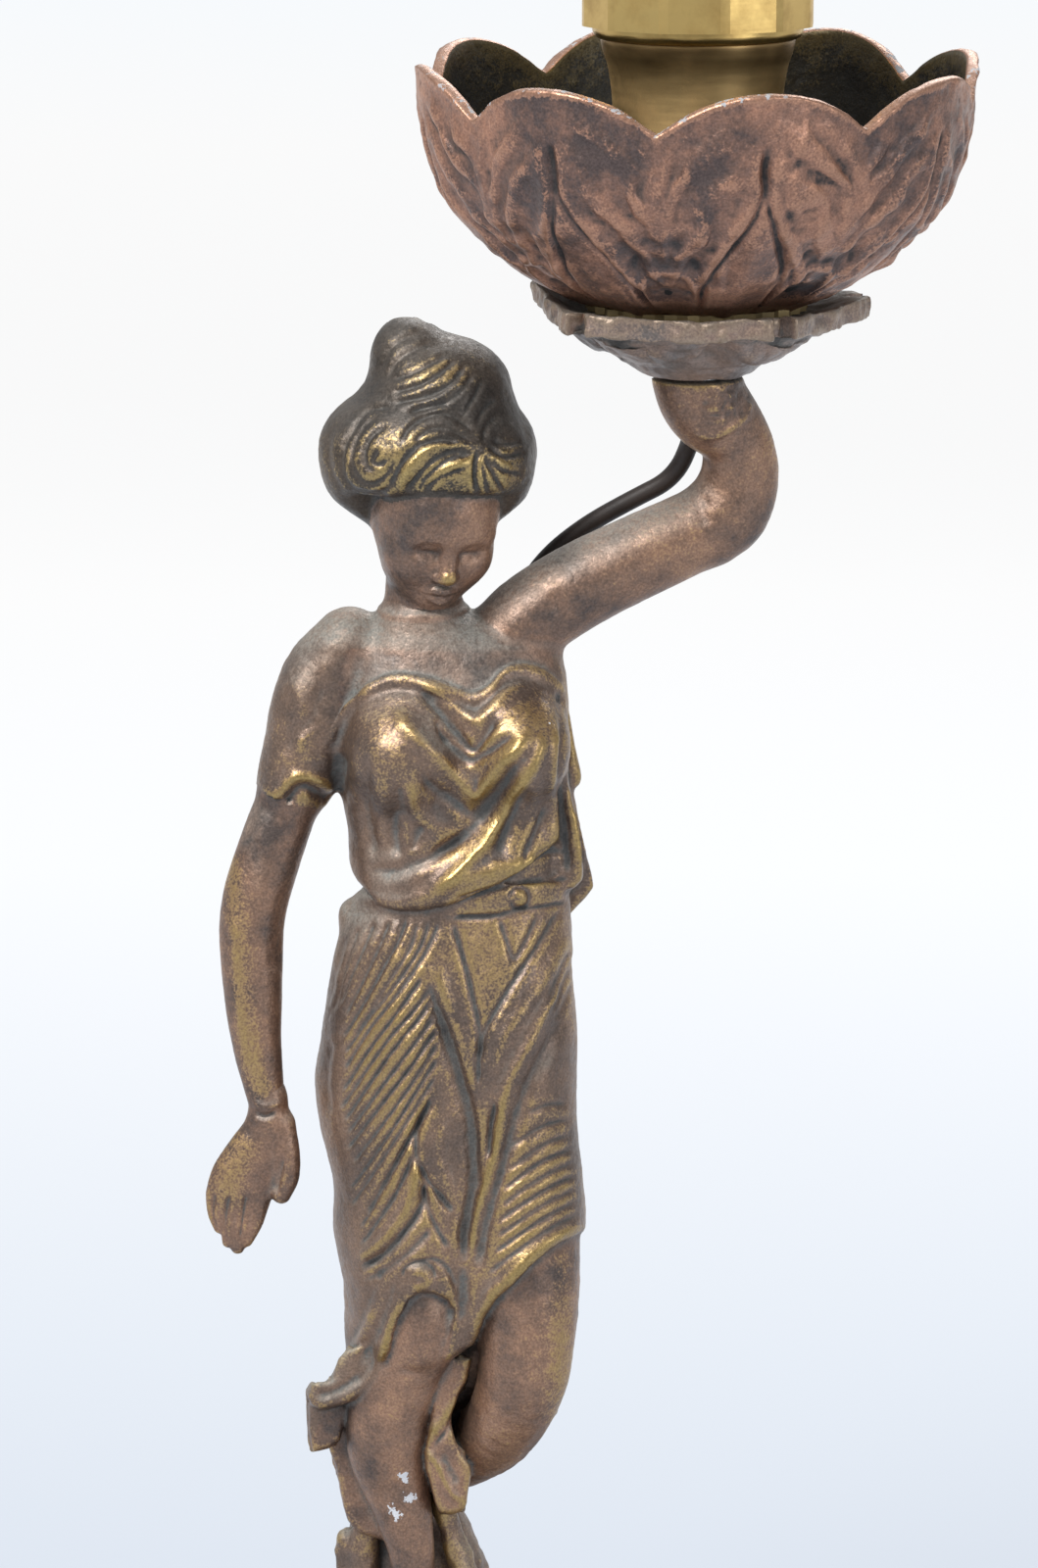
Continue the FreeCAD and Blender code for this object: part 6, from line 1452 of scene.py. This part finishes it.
def carve_bowl(skin, place, share, kind):
    """Leaf veins and dimples on the outside of the bowl, much the same on each of its petals."""
    warp, waver = lumps(skin.points, 7.0, 73), lumps(skin.points, 3.2, 74)
    outside = (kind == 0).astype(float)
    amount = np.zeros(len(place))
    degrees = place * 360.0 / PETALS + 0.6 * warp + 0.25 * waver
    # A pair of midrib grooves starts under each petal's peak and parts towards the foot.
    for side in (-1, 1):
        centre = side * (0.35 + 13.0 * soft_step((0.62 - share) / 0.62))
        width = 1.0 + 0.5 * soft_step((0.5 - share) / 0.5)
        reach = soft_step((0.82 - share) / 0.1) * soft_step((share - 0.02) / 0.05) * (1 + 0.3 * waver)
        amount -= (0.6 + 0.3 * soft_step((0.5 - share) / 0.2)) * np.exp(-((degrees - centre) / width)**2) * reach
        amount += 0.25 * np.exp(-((degrees - centre - side * 2.2) / 1.6)**2) * reach
    amount += 0.5 * np.exp(-(degrees / 4.5)**2) * soft_step((0.7 - share) / 0.3)
    between = 180.0 / PETALS - np.abs(degrees)
    # In the leaf between two midribs, feathered veins arch out from the valley's line.
    phase = share * 8.0 - between * 0.16 + 0.8 * warp + 0.25 * waver
    vein = np.sin(phase * math.pi)
    vein = np.sign(vein) * np.abs(vein)**0.7
    reach = soft_step((21.0 - between) / 6.0) * soft_step((share - 0.12) / 0.12) * soft_step((0.97 - share) / 0.2)
    amount += 0.46 * vein * reach * soft_step((between - 0.4) / 3.0) * (0.8 + 0.5 * waver)
    amount += 0.4 * np.exp(-(between / 2.4)**2) * soft_step((share - 0.34) / 0.12) * soft_step((0.9 - share) / 0.2)
    # A dimple at the leaf's foot with two slanted slits over it, under nested arches.
    dimple = np.exp(-((between / 8.5)**2 + ((share - 0.115) / 0.06)**2)**1.2)
    amount -= 1.15 * dimple
    slit_at = 8.0 - 26.0 * (share - 0.3)
    amount -= 0.9 * np.exp(-(((between - slit_at) / 1.6)**2 + ((share - 0.3) / 0.06)**2))
    for reach, height, depth in ((8.5, 0.2, 0.55), (12.5, 0.31, 0.45), (16.0, 0.42, 0.32)):
        ring = np.hypot(between / reach, (share - 0.08) / height) - 1.0
        amount += depth * np.exp(-(ring / 0.12)**2) * (share > 0.05)
    rim = np.exp(-((share - 0.985) / 0.02)**2)
    amount += rim * (0.15 + 0.2 * waver)
    rough = 0.16 * waver + 0.1 * lumps(skin.points, 1.6, 71) + 0.05 * lumps(skin.points, 0.9, 72)
    skin.push(amount * outside + rough * (kind < 3) * (0.5 + 0.5 * outside))


bowl, kind, share = bowl_skin()
bowl.mark_hollows(((8, 3.4), (60, 1.1)))
bowl.rub[:] = 0.3 - 0.15 * (kind == 1) + 0.2 * (kind == 2)
bowl.chips[:] = (0.3 + 0.35 * lumps(bowl.points, 9.0, 75)) * np.clip(
    np.exp(-((1.0 - share) / 0.014)**2) * (kind == 0) + (kind == 1), 0, 1)
# The inside faces take the near-black material of painted shade.
mesh_piece("bowl", bowl, [COPPER, BOWL_INSIDE_SHADED], None, ["petal_bowl"], kind[bowl.quads[:, 0]] == 2)

# The plate: half width of its five sides, its corners' cut and the notches at them.
PLATE_R = 31.0
PLATE_SIDES = 5
PLATE_FIRST = -98.0
PLATE_AROUND = 1440
NOTCH_HALF = 1.7
NOTCH_DEPTH = 4.0
COLLAR_R = 22.0
EDGE_ROUND = 0.5
COLLAR = [(NIPPLE_R, HAND_TOP), (8.6, HAND_TOP), (10.7, 295.8), (12.0, 296.9), (12.7, 297.2), (15.0, 298.9),
          (16.8, 299.5), (20.6, 301.9), (COLLAR_R, PLATE_BOTTOM)]


def plate_skin():
    """The plate on its collar, from below outwards, round the edge and back over the top."""
    theta = 360.0 * np.arange(PLATE_AROUND) / PLATE_AROUND
    step = 360.0 / PLATE_SIDES
    off = (theta - PLATE_FIRST + step / 2) % step - step / 2
    apothem = PLATE_R * math.cos(math.pi / PLATE_SIDES)
    edge = apothem / np.cos(np.radians(off))
    edge = np.minimum(edge, PLATE_R * 0.985)
    corner = (step / 2 - np.abs(off)) * math.pi / 180 * PLATE_R
    edge = edge - NOTCH_DEPTH * soft_step((NOTCH_HALF + 0.6 - corner) / 0.9)
    wave = 0.35 * np.cos(np.radians(off) * 3 * PLATE_SIDES)
    edge = edge + wave * (corner > NOTCH_HALF + 1)
    rows = []
    for r, z in thickened(rounded(COLLAR, 0.8), 0.8):
        rows.append((r, z))
    for share in (0.2, 0.4, 0.6, 0.8, 0.95):
        rows.append((COLLAR_R + (edge - EDGE_ROUND - COLLAR_R) * share, PLATE_BOTTOM - 0.8 * share))
    for k in range(9):
        t = math.pi * k / 8
        rows.append((edge - EDGE_ROUND + EDGE_ROUND * math.sin(t)**0.5, PLATE_BOTTOM + 1.0 - 1.8 * math.cos(t)))
    for share in np.linspace(0.95, 0.0, 12):
        rows.append((NIPPLE_R + (edge - 0.8 - NIPPLE_R) * share, PLATE_TOP - 0.2))
    return Skin(rings_of(theta, rows), ring_quads(len(rows), PLATE_AROUND))


plate = plate_skin()
under = soft_step((PLATE_TOP - 0.3 - plate.points[:, 2]) / 0.6)
plate.push(under * (0.3 * lumps(plate.points, 2.8, 81) + 0.12 * lumps(plate.points, 1.2, 82)))
across = np.hypot(plate.points[:, 0] - BOWL_X, plate.points[:, 1])
around = np.arctan2(plate.points[:, 1], plate.points[:, 0] - BOWL_X)
leaf = np.abs(np.sin(PLATE_SIDES / 2 * around + 0.6)) - 0.45
plate.push(0.35 * lumps(plate.points, 1.8, 83) * soft_step((across - 12.0) / 4.0))
plate.push(under * 2.6 * leaf * soft_step((across - 12.5) / 4.0) * soft_step((24.0 - across) / 2.0))
# The plate's edge turns up, at the leaf tip on her right most.
turned_up = soft_step((across - 19.0) / 9.0)
side = soft_step((plate.points[:, 1] + 16.0) / 16.0)
plate.points[:, 2] += turned_up * (2.0 + side * (0.6 - 0.03 * (plate.points[:, 0] - BOWL_X)))
plate.mark_hollows(((6, 1.6), (40, 0.7)))
plate.rub[:] = 0.3
mesh_piece("calyx", plate, [PLATE_BRONZE], None, ["calyx_plate"])

# The base's outline as radius and z.
BASE_OUTLINE = [
    (BASE_R - 3.0, FELT_T), (BASE_R, FELT_T), (BASE_R, FOOT_BAND_H - 1.5), (BASE_R - 1.5, FOOT_BAND_H),
    (BASE_R - 5.0, FOOT_BAND_H + 0.6), (BASE_R - 7.5, FOOT_BAND_H + 3.0), (BASE_R - 11.5, FOOT_BAND_H + 5.5),
    (BASE_R - 16.0, FOOT_BAND_H + 6.6), (BASE_R - 16.0, FOOT_BAND_H + 8.6), (BASE_R - 19.5, FOOT_BAND_H + 11.0),
    (BASE_R - 20.5, BASE_H - 5.0), (BASE_R - 18.5, BASE_H - 3.0), (BASE_R - 18.5, BASE_H - 1.0),
    (BASE_R - 19.5, BASE_H), (ROCK_DISC[0][2] - 4.0, BASE_H),
]
base = turned_skin(thickened(rounded(BASE_OUTLINE, 1.2), 1.0), 0.0, 0.0, 384)
base.push(0.1 * lumps(base.points, 3.0, 91))
base.mark_hollows(((6, 1.6), (40, 0.6)))
base.rub[:] = 0.42
mesh_piece("base_round", base, [BRONZE], None, ["base_plinth"])

# The spun cup under the lampholder, as radius and height share.
CUP_BOTTOM = BOWL_BOTTOM + BOWL_FLOOR_T
CUP_H = 41.3
CUP_PROFILE = [(NIPPLE_R, 0.0), (12.6, 0.0), (13.9, 0.05), (14.1, 0.3), (14.0, 0.6), (14.2, 0.76), (14.9, 0.88),
               (15.8, 0.95), (16.1, 1.0), (15.0, 1.0)]
profile = eased(CUP_PROFILE, 6)
cup = turned_skin([(r, CUP_BOTTOM + share * CUP_H) for r, share in profile], BOWL_X, 0.0)
mesh_piece("cup", cup, [CUP_BRASS], None, ["socket_cup"])

# ---- leads ---------------------------------------------------------------------------------------

COIL_X = 35.0
COIL_Y = 126.0
COIL_R = 34.6
COIL_STEP = 5.4
COIL_LAYERS = 4
COIL_LAYER_TURNS = 2.3125
COIL_POINTS_PER_TURN = 16
COIL_TOP = LEAD_D / 2 + COIL_STEP * (COIL_LAYERS - 1)
MAINS_ROUTE = [
    (0.0, LEAD_START_Y, EXIT_Z), (0.0, LEAD_START_Y + 11.0, EXIT_Z), (0.4, 110.5, LEAD_D / 2),
    (0.4, 121.2, LEAD_D / 2),
]
TAIL_ROUTE = [
    (39.8, 160.6, COIL_TOP), (51.0, 160.6, COIL_TOP), (64.0, 157.0, 14.2), (75.0, 149.0, 7.6), (82.0, 137.5, 3.0),
    (84.6, 124.0, 2.4), (85.5, 111.0, 4.6), (85.5, 99.0, EXIT_Z), (85.5, 88.0, EXIT_Z),
]
ARM_ROUTE = [
    (36.2, 0.0, 294.0), (36.2, 0.0, 289.5), (36.0, 8.8, 282.0), (33.0, 11.2, 274.8), (26.0, 12.4, 271.0),
    (18.0, 13.6, 266.3), (11.0, 14.8, 260.4), (6.4, 13.6, 253.4), (0.9, 8.2, 243.0),
]


def coil_point(turns):
    """A point of the coil's line, which spirals in and out again, and climbs a layer as it reverses."""
    leg = int(min(turns // COIL_LAYER_TURNS, COIL_LAYERS - 1))
    along = turns - leg * COIL_LAYER_TURNS
    inward = along if leg % 2 == 0 else COIL_LAYER_TURNS - along
    radius = COIL_R - COIL_STEP * inward
    climb = sum(min(max((turns - k * COIL_LAYER_TURNS + 0.25) / 0.5, 0.0), 1.0) for k in range(1, COIL_LAYERS))
    angle = math.pi - 2 * math.pi * turns
    return (COIL_X + radius * math.cos(angle), COIL_Y + radius * math.sin(angle), LEAD_D / 2 + COIL_STEP * climb)


def lead(name, route, diameter, material):
    """A lead as one smooth curve with the route's points as its control points."""
    curve = bpy.data.curves.new(name, "CURVE")
    curve.dimensions = "3D"
    curve.bevel_depth = diameter / 2 * MM
    curve.bevel_resolution = 6
    curve.resolution_u = 8
    curve.use_fill_caps = True
    spline = curve.splines.new("NURBS")
    spline.points.add(len(route) - 1)
    for point, (x, y, z) in zip(spline.points, route):
        point.co = (x * MM, y * MM, z * MM, 1.0)
    spline.order_u = 3
    spline.use_endpoint_u = True
    curve.materials.append(material)
    piece = bpy.data.objects.new(name, curve)
    bpy.context.scene.collection.objects.link(piece)
    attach(piece, "lamp")
    return piece


turns = COIL_LAYERS * COIL_LAYER_TURNS
coil_route = [coil_point(i / COIL_POINTS_PER_TURN) for i in range(int(round(turns * COIL_POINTS_PER_TURN)) + 1)]
supply = lead("supply_lead", MAINS_ROUTE + coil_route + TAIL_ROUTE, LEAD_D, FLEX)
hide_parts("mains_lead", "lead_coil", "lead_tail")
arm = lead("lead_behind_arm", ARM_ROUTE, WIRE_D, FLEX)
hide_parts("arm_lead")

# ---- floor, lights and camera --------------------------------------------------------------------

FLOOR_HALF = 9.0
FLOOR_FRONT = -2.0
mesh = bpy.data.meshes.new("floor")
mesh.from_pydata([(-FLOOR_HALF, FLOOR_FRONT, 0), (FLOOR_HALF, FLOOR_FRONT, 0), (FLOOR_HALF, 2 * FLOOR_HALF, 0),
                  (-FLOOR_HALF, 2 * FLOOR_HALF, 0)], [], [(0, 1, 2, 3)])
floor = bpy.data.objects.new("floor", mesh)
bpy.context.scene.collection.objects.link(floor)

ground = Shade("floor_pale", Roughness=0.8, Specular_IOR_Level=0.1)
distance = ground.node("SeparateXYZ", {"Vector": ground.place}).outputs["Y"]
shade = ground.node("MapRange", {"Value": distance, "From Min": 0.15, "From Max": 4.2}).outputs[0]
# Painted shade on the floor: greyer and bluer at the front and under the lamp, white from about 1.4 m back.
tone = ground.ramp(shade, (0.0, (0.65, 0.705, 0.79)), (0.06, (0.75, 0.795, 0.86)), (0.18, (0.93, 0.945, 0.97)),
                   (0.3, (1.0, 1.0, 1.0)), (0.7, (1.0, 1.0, 1.0)), (1.0, (0.95, 0.975, 1.0)))
ground.use(Base_Color=tone)
glow = ground.node("Emission", {"Color": tone, "Strength": 1.0})
path = ground.node("LightPath")
seen = ground.math("MAXIMUM", path.outputs["Is Camera Ray"], path.outputs["Is Glossy Ray"])
lit = ground.add(ground.times(shade, 0.16), 0.8, clamp=True)
shown = ground.times(seen, lit)
blend = ground.node("MixShader", {0: shown, 1: ground.surface.outputs[0], 2: glow.outputs[0]})
output = next(n for n in ground.tree.nodes if n.type == "OUTPUT_MATERIAL")
ground.tree.links.new(blend.outputs[0], output.inputs["Surface"])
mesh.materials.append(ground.material)

world = bpy.data.worlds.new("studio")
bpy.context.scene.world = world
world.use_nodes = True
world.node_tree.nodes["Background"].inputs["Color"].default_value = (0.93, 0.96, 1.0, 1.0)
world.node_tree.nodes["Background"].inputs["Strength"].default_value = 0.5

# Each lamp's place and size in metres, its power and its colour. All of them face the figure's middle.
LAMP_AIM = Vector((0.0, 0.0, 0.24))
LAMPS = [
    ("key", (-0.7, -0.85, 1.4), (0.9, 0.9), 31.0, (1.0, 0.99, 0.98)),
    ("fill", (1.0, -0.9, 0.5), (0.6, 0.6), 3.0, (0.95, 0.97, 1.0)),
    ("rim", (0.3, 0.9, 1.0), (0.8, 0.5), 9.0, (1.0, 1.0, 1.0)),
]
for name, place, size, power, colour in LAMPS:
    data = bpy.data.lights.new(name, "AREA")
    data.shape, data.size, data.size_y = "RECTANGLE", *size
    data.energy, data.color = power, colour
    lamp = bpy.data.objects.new(name, data)
    lamp.location = place
    lamp.rotation_euler = (LAMP_AIM - Vector(place)).to_track_quat("-Z", "Y").to_euler()
    bpy.context.scene.collection.objects.link(lamp)

camera = bpy.data.objects.new("camera", bpy.data.cameras.new("camera"))
camera.data.sensor_fit = "VERTICAL"
camera.data.sensor_height = SENSOR_H
camera.data.lens = VIEW_FOCUS / PHOTO_H * SENSOR_H
camera.data.clip_end = 60.0
camera.location = [c * MM for c in VIEW_FROM]
camera.rotation_euler = (math.pi / 2 - VIEW_PITCH, 0.0, 0.0)
bpy.context.scene.collection.objects.link(camera)
bpy.context.scene.camera = camera
bpy.context.scene.view_settings.view_transform = "Standard"
